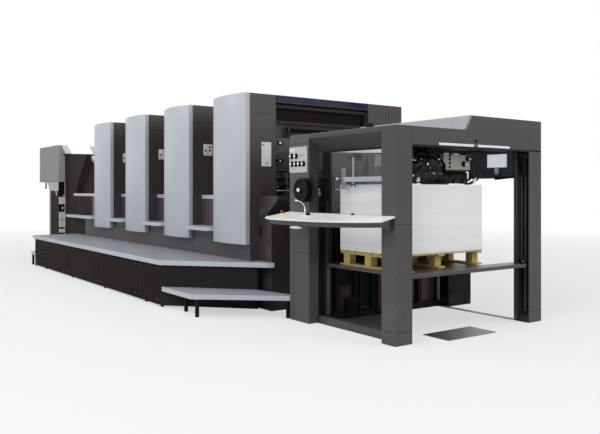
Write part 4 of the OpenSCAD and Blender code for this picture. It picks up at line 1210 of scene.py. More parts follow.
def windowGear(c):
    # side stop, crossbar, rods and the level black disc of the blower behind the pane
    bm = freshMesh()
    x, y = c["stop"], c["gearPlane"]
    ball(bm, (3.848, y + 0.018, 1.463), 0.112, 0, (1, 0.14, 0.24))
    rod(bm, (x, y, 1.235), (x, y, 1.46), 0.008, 1)
    for s in (-1, 1):
        sheetCut(bm, [(x + s * dx, y - 0.004, z) for dx, z in c["stopFoot"]], (0, 0.008, 0), 0, 0.001)
    block(bm, (3.690, y - 0.004, 1.190), (3.752, y + 0.004, 1.375), 2, 0.003)
    block(bm, (3.737, y - 0.014, 1.254), (4.30, y - 0.002, 1.294), 3, 0.004)
    rod(bm, (4.20, y + 0.002, 1.24), (4.20, y + 0.002, 1.50), 0.006, 0, 16)
    block(bm, (4.12, y - 0.003, 1.375), (4.24, y + 0.004, 1.475), 2, 0.003)
    rod(bm, (3.632, y, 1.281), (3.74, y, 1.285), 0.006, 1, 16)
    ball(bm, (3.632, y, 1.281), 0.014, 5)
    rod(bm, (3.72, y, 1.283), (3.72, -0.510, 1.283), 0.006, 1, 16)
    rod(bm, (x, y + 0.03, 1.48), (x, y + 0.03, 1.535), 0.012, 0, 16)
    finished("sideStopGear", bm, [flatBlack, steel, hoodPaint, barBlue, whitePanel, whitePlastic])

    # ladder post and the round disc between the infeed column and the pane
    bm = freshMesh()
    y, r = c["ladderPlane"], c["discRadius"]
    for x in c["ladder"]:
        rod(bm, (x, y, 1.02), (x, y, 1.522), 0.006, 0, 14)
    for k in range(12):
        z = 1.05 + k * 0.038
        rod(bm, (c["ladder"][0], y, z), (c["ladder"][1], y, z), 0.0045, 0, 10, 0)
    turned(bm, [(0, 0.030), (0.018, 0.030), (0.022, 0.022), (r - 0.02, 0.014), (r - 0.004, 0.020), (r, 0.014),
                (r, 0), (0, 0)], c["disc"], near, 0, 56)
    turned(bm, [(0, 0.008), (0.010, 0.006), (0.012, 0)], (3.395, -0.600, 1.229), near, 1, 20)
    finished("ladderPost", bm, [blackMetal, whitePlastic])

    # black turning knob on the slanted roof over the window
    bm = freshMesh()
    turned(bm, [(0, 0.030), (0.016, 0.029), (0.026, 0.022), (0.031, 0.008), (0.036, 0), (0.036, -0.010), (0, -0.010)],
           (3.930, -0.450, 1.725), (0, -0.35, 1))
    finished("roofKnob", bm, [flatBlack])


windowFrame(windowLook)
windowGear(windowLook)
print("window dressed")


# console shelf with its switches
consoleLook = {
    "slope": math.radians(10.2),
    "edge": (-0.729, 0.0039),    # where the sloping top starts, and its depth there under the CAD form's top
    "stop": (3.185, -0.842),
    "knob": (3.556, -0.823),
    "dome": (4.06, -0.748),
    "slot": ((3.184, -0.797), (3.305, -0.780)),
    "pad": ((3.70, -0.905), (3.84, -0.905), (3.80, -0.800), (3.66, -0.800)),
    "lampFoot": (3.504, -0.822),
    "neck": ((-0.004, 0.004, 0.045), (-0.030, 0.012, 0.085), (-0.085, 0.022, 0.112), (-0.150, 0.028, 0.122)),
    "bowl": (3.600, -0.985, 0.868),
}


def consolePieces(c):
    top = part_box("console_shelf")[1].z - c["edge"][1]
    tilt = Vector((0, -math.sin(c["slope"]), math.cos(c["slope"])))

    def on(place, lift=0.0):
        # a place on the sloping top
        x, y = place
        return Vector((x, y, top + (y - c["edge"][0]) * math.tan(c["slope"]))) + tilt * lift

    def shelf(bm):
        repaint(bm, 1, lambda f: f.normal.z < 0.8)

    dressed("console_shelf", [shelfTop, whitePanel], 0.004, shape=shelf, segments=3)
    dressed("console_apron", [charcoalWallPaintedShade])

    bm = freshMesh()
    # emergency stop: yellow ring and red mushroom
    turned(bm, [(0, 0.014), (0.019, 0.014), (0.022, 0.010), (0.023, 0), (0, 0)], on(c["stop"]), tilt, 1)
    turned(bm, [(0, 0.040), (0.008, 0.039), (0.014, 0.035), (0.016, 0.029), (0.013, 0.024), (0.008, 0.022),
                (0.008, 0.012)], on(c["stop"]), tilt)
    # black knob beside the reading lamp, and the low dome further along
    turned(bm, [(0, 0.028), (0.013, 0.027), (0.015, 0.022), (0.015, 0.008), (0.021, 0.007), (0.022, 0)],
           on(c["knob"]), tilt, 2, 32)
    turned(bm, [(0, 0.018), (0.009, 0.016), (0.015, 0.009), (0.016, 0.004), (0.018, 0)], on(c["dome"]), tilt, 2)
    # slot with a dark lining, and a faint pad let into the top
    a, b = (on(place, 0.0006) for place in c["slot"])
    wide = Vector((0.0, 0.006, 0.0011))
    sheetCut(bm, [a - wide, b - wide, b + wide, a + wide], tilt * 0.0006, 2, 0)
    sheetCut(bm, [on(place, 0.0004) for place in c["pad"]], tilt * 0.0006, 3, 0)
    finished("consoleSwitches", bm, [redPlastic, yellowPlastic, flatBlack, padGrey])

    # reading lamp on a curved neck
    bm = freshMesh()
    base = on(c["lampFoot"])
    turned(bm, [(0, 0.016), (0.010, 0.015), (0.021, 0.010), (0.024, 0)], base, tilt, 0, 32)
    line = curved([base + tilt * 0.010, *[base + Vector(p) for p in c["neck"]]], 12)
    for before, p, after in zip(line, line[1:], line[2:]):
        turned(bm, [(0.0028, -0.003), (0.0048, -0.0016), (0.0048, 0.0016), (0.0028, 0.003)], p, after - before, 0, 12)
    tube(bm, line, 0.0032, 0, 10)
    tip = line[-1]
    turned(bm, [(0, 0.036), (0.008, 0.036), (0.0095, 0.031), (0.007, 0.004), (0.005, 0), (0, 0)],
           tip, tip - line[-2], 0, 28)
    repaint(bm, 1, lambda f: (middleOf(f) - tip).length < 0.030)
    finished("readingLamp", bm, [chrome, whitePlastic])

    # shallow cream bowl hung under the apron
    bm = freshMesh()
    ball(bm, c["bowl"], 0.080, 0, (1, 0.45, 0.16))
    block(bm, (3.560, -0.985, 0.870), (3.640, -0.955, 0.890), 1, 0.003)
    finished("apronBowl", bm, [cream, charcoal])


consolePieces(consoleLook)


knobLook = {
    "rows": ((1.489, (3.181, 3.251)), (1.418, (3.188, 3.248, 3.306, 3.365))),
    "knob": (([(0, 0.0012), (0.026, 0.0012), (0.0275, 0)], 3, 32),    # dial, knob and cap: outline, paint, steps
             ([(0, 0.021), (0.014, 0.021), (0.017, 0.018), (0.019, 0.006), (0.0235, 0.003), (0.0235, 0.001)], 1, 32),
             ([(0, 0.0235), (0.0105, 0.0235), (0.012, 0.021)], 2, 24)),
    "dialRadius": 0.0295,
    "lamps": (3.31, 3.34, 3.37),
}


def knobPanel(c):
    low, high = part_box("knob_panel")
    face = low.y + 0.024
    bm = freshMesh()
    block(bm, (low.x, face, low.z), high)
    block(bm, (low.x + 0.012, face - 0.0008, high.z - 0.038), (low.x + 0.080, face + 0.0004, high.z - 0.018), 5, 0.0003)
    for x, z in ((x, z) for z, places in c["rows"] for x in places):
        for outline, paint, steps in c["knob"]:
            turned(bm, outline, (x, face, z), near, paint, steps)
        for k in range(7):
            angle = math.radians(-120 + 40 * k)
            px, pz = x + c["dialRadius"] * math.sin(angle), z + c["dialRadius"] * math.cos(angle)
            block(bm, (px - 0.0009, face - 0.0007, pz - 0.0009), (px + 0.0009, face + 0.0003, pz + 0.0009), 1, 0)
    for x in (low.x + 0.008, high.x - 0.008):
        for z in (low.z + 0.008, high.z - 0.008):
            turned(bm, [(0, 0.0016), (0.0035, 0.0012), (0.0045, 0)], (x, face, z), near, 4, 12)
    for x in c["lamps"]:
        turned(bm, [(0, 0.004), (0.0055, 0.003), (0.007, 0)], (x, face, 1.492), near, 3, 16)
    finished("knobPanelFace", bm, [knobPlate, flatBlack, whitePlastic, charcoal, darkSteel, whitePanel],
             replaces=("knob_panel",))


knobPanel(knobLook)


wheelLook = {
    "gripRidges": 40,
    "shaft": 0.01208,
    "base": ((-0.040, -0.104), (0.118, 0.104)),
    "baseDepth": 0.005,
}


def handwheelPieces(c):
    low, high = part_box("handwheel")
    x, z, r = (low.x + high.x) / 2, (low.z + high.z) / 2, (high.x - low.x) / 2
    shaft, back, deep = c["shaft"], high.y, high.y - low.y

    def around(radius, turn):
        return x + radius * math.cos(turn), z + radius * math.sin(turn)

    bm = freshMesh()
    turned(bm, [(shaft, 0), (0.026, 0), (0.026, 0.012), (r - 0.030, 0.012), (r - 0.018, 0.004), (r - 0.006, 0.003),
                (r, 0.010), (r, deep - 0.012), (r - 0.003, deep - 0.008), (r - 0.008, deep - 0.0065),
                (r - 0.016, deep - 0.007), (r - 0.022, deep - 0.013), (0.040, deep - 0.015), (0.030, deep - 0.010),
                (0.026, deep - 0.004), (0.022, deep), (shaft, deep), (shaft, 0)], (x, back, z), near, 0, 96)
    for k in range(c["gripRidges"]):
        px, pz = around(r - 0.0012, math.tau * k / c["gripRidges"])
        rod(bm, (px, back - 0.012, pz), (px, back - deep + 0.012, pz), 0.0011, 0, 6, 0)
    finished("handwheelDisc", bm, [flatBlack], "handwheel", ("handwheel",))

    slow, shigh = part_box("handwheel_shaft")
    wall, reach = shigh.y, shigh.y - slow.y
    bm = freshMesh()
    turned(bm, [(0, 0), (0.020, 0), (0.020, 0.012), (0.012, 0.012), (0.012, reach - 0.002), (0.010, reach), (0, reach)],
           (x, wall, z), near, 0)
    turned(bm, [(0, reach + 0.010), (0.012, reach + 0.008), (0.0165, reach + 0.002), (0.0165, reach - 0.0055),
                (0.011, reach - 0.0055)], (x, wall, z), near, 1, 32)
    finished("handwheelShaft", bm, [steel, whitePlastic], replaces=("handwheel_shaft",))

    bm = freshMesh()
    turned(bm, [(0.023, 0), (0.046, 0), (0.046, 0.004), (0.042, 0.006), (0.023, 0.006)], (x, wall, z), near, 0, 48)
    for k in range(4):
        px, pz = around(0.034, math.tau * (k + 0.5) / 4)
        turned(bm, [(0, 0.0025), (0.0035, 0.002), (0.0045, 0)], (px, wall - 0.0058, pz), near, 0, 16)
    deep = min(c["baseDepth"], wall - back - 0.0015)
    (left, bottom), (end, top) = c["base"]
    block(bm, (x + left, wall - deep, z + bottom), (x + end, wall, z + top), 1, 0.0015)
    finished("handwheelFlange", bm, [blackMetal, flatBlack])


handwheelPieces(wheelLook)
print("console and handwheel dressed")


pileLook = {
    "topBoards": 7,
    "boardWidth": 0.090,
    "boardHeight": 0.016,
    "blockSize": 0.078,
    "blockInset": 0.044,
    "lifts": 14,
    "jog": 0.0004,           # how far a lift may sit back from the pile's face
    "looseSheets": ((0.0012, 0.0018), (0.0022, 0.0009)),
    "ribs": (-0.36, 0.0, 0.36),
    "ribDrop": 0.012,
    "chainEyes": (-0.505, 0.855),
}


def palletPiece(c):
    low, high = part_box("pallet")
    bm = freshMesh()
    t, half = c["boardHeight"], c["blockSize"] / 2
    step = (high.x - low.x - c["boardWidth"]) / (c["topBoards"] - 1)
    boards = [low.x + k * step for k in range(c["topBoards"])]
    for k, x in enumerate(boards):
        trim = 0.002 * (k % 3)
        block(bm, (x, low.y + trim, high.z - t), (x + c["boardWidth"], high.y - trim * 0.5, high.z), 0, 0.0025)
    rows = (low.y + half, 0.0, high.y - half)
    edge = c["blockInset"] + half
    for y in rows:
        block(bm, (low.x, y - half, low.z), (high.x, y + half, low.z + t), 0, 0.0025)
        block(bm, (low.x + 0.002, y - half + 0.004, high.z - 2 * t),
              (high.x - 0.002, y + half - 0.004, high.z - t), 0, 0.0025)
        for x in (low.x + edge, (low.x + high.x) / 2, high.x - edge):
            block(bm, (x - half, y - half + 0.002, low.z + t), (x + half, y + half - 0.002, high.z - 2 * t), 0, 0.004)
            for nail in (x - 0.018, x + 0.018):
                for z in (low.z + t * 0.5, high.z - t * 0.5):
                    rod(bm, (nail, y - half - 0.0004, z), (nail, y - half + 0.004, z), 0.0022, 1, 10, 0)
    for x in boards:
        for y in rows:
            for s in (-1, 1):
                nail = (x + c["boardWidth"] / 2 + s * 0.022, y + s * 0.012)
                rod(bm, (*nail, high.z - 0.002), (*nail, high.z + 0.0002), 0.0026, 1, 10, 0)
    finished("palletBoards", bm, [wood, darkSteel], "pile_lift", ("pallet",))


def paperStack(c):
    low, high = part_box("paper_pile")
    bm = freshMesh()
    block(bm, low, high, 0, 0)
    for k in range(1, c["lifts"]):
        joint = low.z + (high.z - low.z) * k / c["lifts"]
        for z in (joint - 0.0008, joint + 0.0008):
            bmesh.ops.bisect_plane(bm, geom=bm.verts[:] + bm.edges[:] + bm.faces[:], dist=1e-7,
                                   plane_co=(0, 0, z), plane_no=up)
    middle = (low + high) / 2
    for v in bm.verts:
        lift = int((v.co.z - low.z) / (high.z - low.z) * c["lifts"] * 0.9999)
        back = c["jog"] * ((lift * 7) % 5) / 4
        v.co.x += back if v.co.x < middle.x else -back
        v.co.y += back if v.co.y < middle.y else -back
    # a few sheets on top lie a hair apart
    for k, (dx, dy) in enumerate(c["looseSheets"]):
        z = high.z - 0.0005 - 0.0006 * k
        block(bm, (low.x + dx, low.y + dy, z - 0.0003), (high.x - dy, high.y - dx, z), 0, 0)
    finished("sheetStack", bm, [paper], "pile_lift", ("paper_pile",))


def pilePlate(c):
    low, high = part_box("pile_plate")
    under = low.z - c["ribDrop"]

    def plate(bm):
        repaint(bm, 1, lambda f: f.normal.z > 0.9)

    dressed("pile_plate", [charcoalWallPaintedShade, darkSteel], body="pile_lift", shape=plate)
    bm = freshMesh()
    # stiffening ribs and a gusset under the plate, and its chain eyes
    for y in c["ribs"]:
        block(bm, (low.x + 0.03, y - 0.012, under), (4.34, y + 0.012, low.z), 0, 0.003)
    sheetCut(bm, [(4.385, -0.430, low.z), (4.385, -0.350, low.z), (4.385, -0.350, under), (4.385, -0.418, under)],
             (0.012, 0, 0), 0, 0.002)
    for y in c["chainEyes"]:
        block(bm, (4.466, y - 0.014, high.z), (4.496, y + 0.014, high.z + 0.034), 3, 0.003)
        rod(bm, (4.462, y, high.z + 0.020), (4.500, y, high.z + 0.020), 0.007, 2, 16)
    finished("pilePlateFittings", bm, [charcoal, darkSteel, steel, blackMetal], "pile_lift")


palletPiece(pileLook)
paperStack(pileLook)
pilePlate(pileLook)
print("pile dressed")


headLook = {
    "bodyEnds": (-0.420, 0.040),
    "bodyHeights": (1.290, 1.440),
    "footHeight": 1.2365,
    "footRows": (-0.390, -0.290, -0.190, -0.090, 0.010),
    "rollers": (-0.36, -0.27, -0.15, -0.04),
    "nozzles": ((-0.278, 1.260), (-0.262, 1.266), (0.412, 1.252), (0.432, 1.262)),
    "capRows": (-0.355, -0.255, -0.080),
    "hangers": (-0.350, -0.040),
    "hoseLine": 4.256,
    "hoseRows": (-0.340, -0.210, -0.080),
    "hoseRadius": 0.010,
    "arcRadius": 0.050,
    "loop": (0.378, 1.370, 0.105),    # across, height and radius of the half turn beside the arm
    "wideLoops": ((0.188, 0.012), (0.168, -0.010)),
    "bundle": 44,            # hoses that drape over the head and under the box
    "covers": (((4.120, -0.560, 1.440), (4.124, 0.040, 1.546), 0.001),
               ((4.150, -0.470, 1.250), (4.154, -0.418, 1.440), 0.001),
               ((4.216, 0.045, 1.343), (4.296, 0.376, 1.362), 0.004),
               ((4.236, -0.410, 1.239), (4.240, 0.372, 1.310), 0.001)),
    "boxLow": (4.206, 0.045, 1.358),
    "boxHigh": (4.306, 0.378, 1.486),
    "grommets": (1.471, 1.443, 1.411, 1.378),
    "boxKnobs": ((0.344, 1.455), (0.292, 1.407)),
    "lidCovers": ((0.050, 0.118), (0.160, 0.245)),
}


def arc(x, across, height, wide, tall, steps):
    # half a turn of points in the upright plane at x, from the top round the +Y side to the bottom
    turns = [math.pi * k / steps for k in range(steps + 1)]
    return [(x, across + wide * math.sin(t), height + tall * math.cos(t)) for t in turns]


def suctionFoot(bm, x, y, bottom, top):
    # bellows cup on a sprung rod
    turned(bm, [(0.011, 0.0), (0.016, 0.0005), (0.012, 0.006), (0.015, 0.009), (0.011, 0.013), (0.013, 0.016),
                (0.009, 0.020), (0, 0.020)], (x, y, bottom), up, 3, 24)
    rod(bm, (x, y, bottom + 0.018), (x, y, top), 0.0065, 2, 16)
    coil, turns = [], 5
    for k in range(turns * 10 + 1):
        angle = math.tau * k / 10
        coil.append((x + 0.0095 * math.cos(angle), y + 0.0095 * math.sin(angle),
                     bottom + 0.024 + 0.024 * k / (turns * 10)))
    tube(bm, coil, 0.0014, 1, 5)


def headBody(c):
    low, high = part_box("suction_head")
    bm = freshMesh()
    x0, x1 = low.x, high.x
    y0, y1 = c["bodyEnds"]
    z0, z1 = c["bodyHeights"]

    # two side plates, a cover between them and a rounded front
    plate = ((x0, z0), (x1 - 0.030, z0), (x1, z0 + 0.030), (x1, z1 - 0.040), (x1 - 0.050, z1), (x0 + 0.03, z1),
             (x0, z1 - 0.05))
    for y in (y0, y1 - 0.012):
        sheetCut(bm, [(x, y, z) for x, z in plate], (0, 0.012, 0), 0, 0.002)
    cover = ((x0 + 0.01, z0 + 0.012), (x1 - 0.060, z0 + 0.012), (x1 - 0.044, z0 + 0.050), (x1 - 0.044, z1 - 0.050),
             (x1 - 0.080, z1 - 0.010), (x0 + 0.03, z1 - 0.014), (x0 + 0.01, z1 - 0.05))
    sheetCut(bm, [(x, y0 + 0.012, z) for x, z in cover], (0, y1 - y0 - 0.024, 0), 0, 0.006)
    # drive shafts and cam rollers across the block
    for x, z in ((x1 - 0.026, z0 + 0.100), (x1 - 0.022, z0 + 0.030), (x0 + 0.05, z0 + 0.07)):
        rod(bm, (x, y0 + 0.001, z), (x, y1 - 0.001, z), 0.008, 1)
    for y in c["rollers"]:
        turned(bm, [(0, 0.014), (0.020, 0.014), (0.024, 0.011), (0.024, 0.003), (0.020, 0), (0, 0)],
               (x1 - 0.044, y, z1 - 0.075), right, 0, 32)
    # arm under the control box with its ribs and end block
    sheetCut(bm, [(x, y1, z) for x, z in ((x0 + 0.06, 1.262), (x1 - 0.06, 1.262), (x1 - 0.06, 1.330),
                                          (x1 - 0.09, 1.353), (x0 + 0.06, 1.353))], (0, 0.337, 0), 0, 0.003)
    for k in range(9):
        y = 0.060 + k * 0.037
        block(bm, (x1 - 0.062, y, 1.262), (x1 - 0.052, y + 0.012, 1.332))
        rod(bm, (x1 - 0.052, y + 0.006, 1.240), (x1 - 0.052, y + 0.006, 1.300), 0.006, 1 if k % 3 else 0, 14)
    block(bm, (4.227, 0.302, 1.241), (4.285, 0.376, 1.290), 0, 0.010)
    for y in (0.322, 0.357):
        rod(bm, (4.256, y, c["footHeight"]), (4.256, y, 1.248), 0.013, 3, 24)
    # hangers up to the crossbar
    for y in c["hangers"]:
        block(bm, (4.136, y, z1), (4.186, y + 0.040, 1.544), 0, 0.004)
        for z in (1.46, 1.52):
            rod(bm, (4.186, y + 0.020, z), (4.192, y + 0.020, z), 0.009, 2, 6)
    # lifting and forwarding feet
    for y in c["footRows"]:
        for x in (x0 + 0.040, x1 - 0.050):
            suctionFoot(bm, x, y, c["footHeight"], z0 + 0.004)
    # blower nozzles with white tips at both ends of the front
    for y, z in c["nozzles"]:
        rod(bm, (x1 - 0.020, y, z - 0.012), (x1 - 0.020, y, z + 0.030), 0.0085, 4, 16)
        rod(bm, (x1 - 0.020, y, z + 0.030), (x1 - 0.020, min(y, 0.37), z + 0.060), 0.0075, 0, 16)
    # rounded black end caps at the back corners
    for y in c["capRows"]:
        turned(bm, [(0, 0.030), (0.018, 0.028), (0.026, 0.018), (0.027, 0), (0, 0)],
               (x0 + 0.13, y, z1 - 0.004), up, 0, 28)
    finished("suctionHeadBody", bm, [blackMetal, railSteel, darkSteel, rubber, whitePlastic],
             replaces=("suction_head",))


def headHoses(c):
    # air hoses on the routes of the CAD form, with fittings at their ends
    bm = freshMesh()
    x, top, r = c["hoseLine"], c["bodyHeights"][1], c["arcRadius"]
    for y in c["hoseRows"]:
        for place in (x - 0.024, x + 0.024):
            turns = [math.pi * k / 24 for k in range(25)]
            tube(bm, [(place, y - r * math.cos(t), top + r * math.sin(t)) for t in turns], c["hoseRadius"], 0, 14)
            for end in (y - r, y + r):
                rod(bm, (place, end, top - 0.002), (place, end, top + 0.012), 0.0135, 1, 6)
    across, centre, r = c["loop"]
    tube(bm, arc(x, across, centre, r, r, 30), c["hoseRadius"], 0, 14)
    for start, z in ((0.376, centre + r), (0.374, centre - r)):
        rod(bm, (x, start, z), (x, start + 0.016, z), 0.0135, 1, 6)
    finished("headAirHoses", bm, [rubber, darkSteel], replaces=("head_hoses",))


def spreadOf(k, step, start=0.0):
    # an even, unordered spread of places between 0 and 1
    return (k * step + start) % 1.0


def drapedHose(bm, k, x1):
    # over the head and down its front, every second one with a fitting
    spread, other, third = spreadOf(k, 0.618), spreadOf(k, 0.381, 0.2), spreadOf(k, 0.237, 0.5)
    y = -0.415 + 0.45 * spread
    thick = 0.0030 + 0.0035 * other * third
    front = x1 - 0.034 + 0.026 * other
    swing = other - 0.5
    line = curved([(4.19, y + 0.10 * swing, 1.500), (4.235, y + 0.05 * (third - 0.5), 1.462 + 0.050 * third),
                   (front, y + 0.10 * swing, 1.410 + 0.05 * spread),
                   (front + 0.006, y + 0.16 * (third - 0.5), 1.340 + 0.02 * other),
                   (front - 0.004, y - 0.12 * swing, 1.275), (front - 0.030, y + 0.02, 1.245 + 0.01 * spread)], 6)
    tube(bm, line, thick, 0, 7)
    if k % 2:
        spot = line[int(len(line) * (0.25 + 0.5 * third))]
        turned(bm, [(0, -0.007), (thick + 0.002, -0.007), (thick + 0.0025, 0), (thick + 0.002, 0.007), (0, 0.007)],
               spot, (0.1, 0.4 * swing, -1), 1 + k % 3, 10)


def slackHose(bm, k, x1):
    # a bight that hangs below its ends in front of the block
    other, third = spreadOf(k, 0.414, 0.3), spreadOf(k, 0.729)
    y = -0.40 + 0.62 * spreadOf(k, 0.618, 0.33)
    reach = 0.04 + 0.07 * other
    z = 1.330 + 0.06 * third if y < 0 else 1.325
    sag = z - 0.075 * (0.5 + other / 2)
    line = curved([(x1 - 0.040, y - reach / 2, z), (x1 - 0.018, y - reach / 3, (z + sag) / 2), (x1 - 0.012, y, sag),
                   (x1 - 0.018, y + reach / 3, (z + sag) / 2 + 0.01), (x1 - 0.040, y + reach / 2, z + 0.01)], 6)
    tube(bm, line, 0.0042, 0, 7)


def headCables(c):
    # thinner lines: a drape over the head, a fan of cables to the box and the wide loop beside it
    x1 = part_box("suction_head")[1].x
    bm = freshMesh()
    for k in range(c["bundle"]):
        drapedHose(bm, k, x1)
    for k in range(c["bundle"] // 2):
        slackHose(bm, k, x1)
    for k in range(14):
        spread = spreadOf(k, 0.618, 0.1)
        y, swing = 0.05 + 0.31 * spread, spread - 0.5
        line = curved([(x1 - 0.070, y, 1.345), (x1 - 0.046, y + 0.02 * swing, 1.318),
                       (x1 - 0.040, y - 0.05 * swing, 1.280), (x1 - 0.060, y + 0.03, 1.246)], 6)
        tube(bm, line, 0.0055, 0, 8)
    for k, z in enumerate(c["grommets"]):
        for x in (4.262, 4.271):
            line = curved([(x, 0.040, z), (x + 0.008, -0.02, z + 0.006), (x, -0.12, z + 0.004 * (2 - k)),
                           (4.250, -0.22, 1.43 - 0.02 * k)], 8)
            tube(bm, line, 0.0042, 0, 8)
    for wide, dx in c["wideLoops"]:
        tube(bm, arc(c["hoseLine"] + dx, c["loop"][0], 1.358, wide, 0.122, 32), 0.0075)
    # covers behind the hoses and under the box
    for low, high, soft in c["covers"]:
        block(bm, low, high, 0, soft)
    finished("headCableDrape", bm, [rubber, darkSteel, flatBlack, chrome])


def headControlBox(c):
    # control box: lid with a joint, cable glands, two rotary switches
    low, high = Vector(c["boxLow"]), Vector(c["boxHigh"])
    face = high.x - 0.0004
    bm = freshMesh()
    block(bm, low, (high.x - 0.020, high.y, high.z), 0, 0.005)
    block(bm, (high.x - 0.018, low.y, low.z), high, 0, 0.006)
    block(bm, (high.x - 0.0205, low.y + 0.003, low.z + 0.003), (high.x - 0.0175, high.y - 0.003, high.z - 0.003), 1, 0)
    for z in c["grommets"]:
        turned(bm, [(0, 0.014), (0.006, 0.014), (0.008, 0.010), (0.0085, 0.004), (0.0115, 0.003), (0.0115, 0), (0, 0)],
               (face, 0.118, z), right, 1, 24)
        turned(bm, [(0, 0.018), (0.004, 0.018), (0.005, 0.014)], (face, 0.122, z), right, 2, 16)
        rod(bm, (4.262, low.y, z), (4.262, low.y - 0.016, z), 0.0095, 1, 6)
    for y, z in c["boxKnobs"]:
        turned(bm, [(0, 0.024), (0.016, 0.024), (0.020, 0.020), (0.021, 0.006), (0.026, 0.002), (0.026, 0), (0, 0)],
               (face, y, z), right, 1, 36)
        turned(bm, [(0, 0.028), (0.009, 0.0275), (0.0105, 0.024)], (face, y + 0.006, z - 0.002), right, 2, 28)
    for y in (low.y + 0.012, high.y - 0.012):
        for z in (low.z + 0.012, high.z - 0.012):
            turned(bm, [(0, 0.0014), (0.0035, 0.001), (0.0045, 0)], (face, y, z), right, 3, 12)
    # white covers on the lid's upper edge
    for start, end in c["lidCovers"]:
        sheetCut(bm, [(4.286, y, high.z + rise) for y, rise in ((start, 0), (end, 0), (end - 0.006, 0.012),
                                                                (start + 0.016, 0.014))], (0.016, 0, 0), 2, 0.002)
    block(bm, (4.196, 0.145, 1.400), (4.206, 0.285, 1.614), 4, 0.003)
    finished("headControlBox", bm, [beigeBox, blackPlastic, whitePlastic, darkSteel, charcoal],
             replaces=("head_control_box",))

    # crossbar with a scale strip
    def bar(bm):
        low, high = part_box("head_crossbar")
        cutInto(bm, right, high.x, (low.y + 0.05, low.z + 0.026), (high.y - 0.05, low.z + 0.044), 0.006, 1)

    dressed("head_crossbar", [steel, blackMetal], shape=bar)


headBody(headLook)
headHoses(headLook)
headCables(headLook)
headControlBox(headLook)
print("suction head dressed")


deliveryLook = {
    "bevel": 0.005,
    "hoodJoint": -3.928,
    "whiteSheet": ((-2.94, -0.540, 1.742), (-2.60, -0.540, 1.735), (-2.60, -0.540, 1.59)),
    "paleWall": 1.168,       # the side frame is pale above this height
    "paleStrip": ((-4.392, 0.02), (-4.350, 1.160)),
    "arm": ((-4.055, 1.178), (-4.030, 1.190), (-3.985, 1.095), (-4.005, 1.082)),
    "hook": ((-4.83, 1.330), (-4.83, 1.245), (-4.835, 1.222), (-4.855, 1.215), (-4.87, 1.232)),
    "keyRows": ((0.597, 2), (0.732, 3), (0.998, 3)),
    "doors": (-3.66, -3.24, -2.78),
}


def deliveryForms(c):
    def housing(bm):
        low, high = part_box("delivery_housing")
        seam(bm, near, low.y, "x", -3.298, (0.20, 0.98))
        seam(bm, near, low.y, "z", 1.002, (-3.84, -3.40))
        for x in (-3.448, -3.018):
            seam(bm, away, high.y, "x", x, (0.12, 1.70))
        seam(bm, away, high.y, "z", 0.902, (-3.84, -2.52))
        # faces turned to the feeder end keep the plain umber, the others take the darker copy: painted shade
        repaint(bm, 1, lambda f: f.normal.x > 0.25)

    def link(bm):
        low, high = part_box("delivery_link")
        seam(bm, near, low.y, "z", 0.302, (low.x + 0.05, high.x - 0.02))
        seam(bm, away, high.y, "x", low.x + 0.302, (0.10, 1.02))

    def frames(bm):
        low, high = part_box("delivery_frames")
        cutInto(bm, near, low.y, (low.x, c["paleWall"]), (high.x, high.z), -0.001, 1)
        cutInto(bm, near, low.y, *c["paleStrip"], -0.001, 2)
        repaint(bm, 3, lambda f: f.normal.x > 0.9 and middleOf(f).x > high.x - 0.01)

    def hood(bm):
        low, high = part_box("delivery_hood")
        seam(bm, near, low.y, "x", c["hoodJoint"], (low.z + 0.02, high.z - 0.02))
        # slanted faces that look up towards the feeder end take the pale cheek paint, and the end faces the pale paint:
        # painted light from above
        repaint(bm, 1, lambda f: f.normal.x > 0.3 and f.normal.z > 0.3)
        repaint(bm, 2, lambda f: f.normal.x > 0.9)

    def cover(bm):
        low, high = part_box("delivery_top_cover")
        for x in (-4.548, -4.098):
            seam(bm, up, 1.818, "x", x, (-0.20, 0.90))
        # the top above 1.825 m takes the paler cheek paint: painted light on the top
        repaint(bm, 1, lambda f: middleOf(f).z > 1.825)
        seam(bm, away, high.y, "x", -4.448, (low.z + 0.04, 1.80))

    dressed("delivery_housing", [umberFarPaintedShade, umber], c["bevel"], shape=housing)
    dressed("delivery_link", [umberFarPaintedShade], c["bevel"], shape=link)
    dressed("delivery_frames", [umberFarPaintedShade, palePaint, palePaint, blackMetal], c["bevel"], shape=frames)
    dressed("delivery_hood", [hoodPaint, cheekPaint, palePaint], 0.006, shape=hood)
    dressed("delivery_top_cover", [palePaint, cheekPaint], shape=cover)


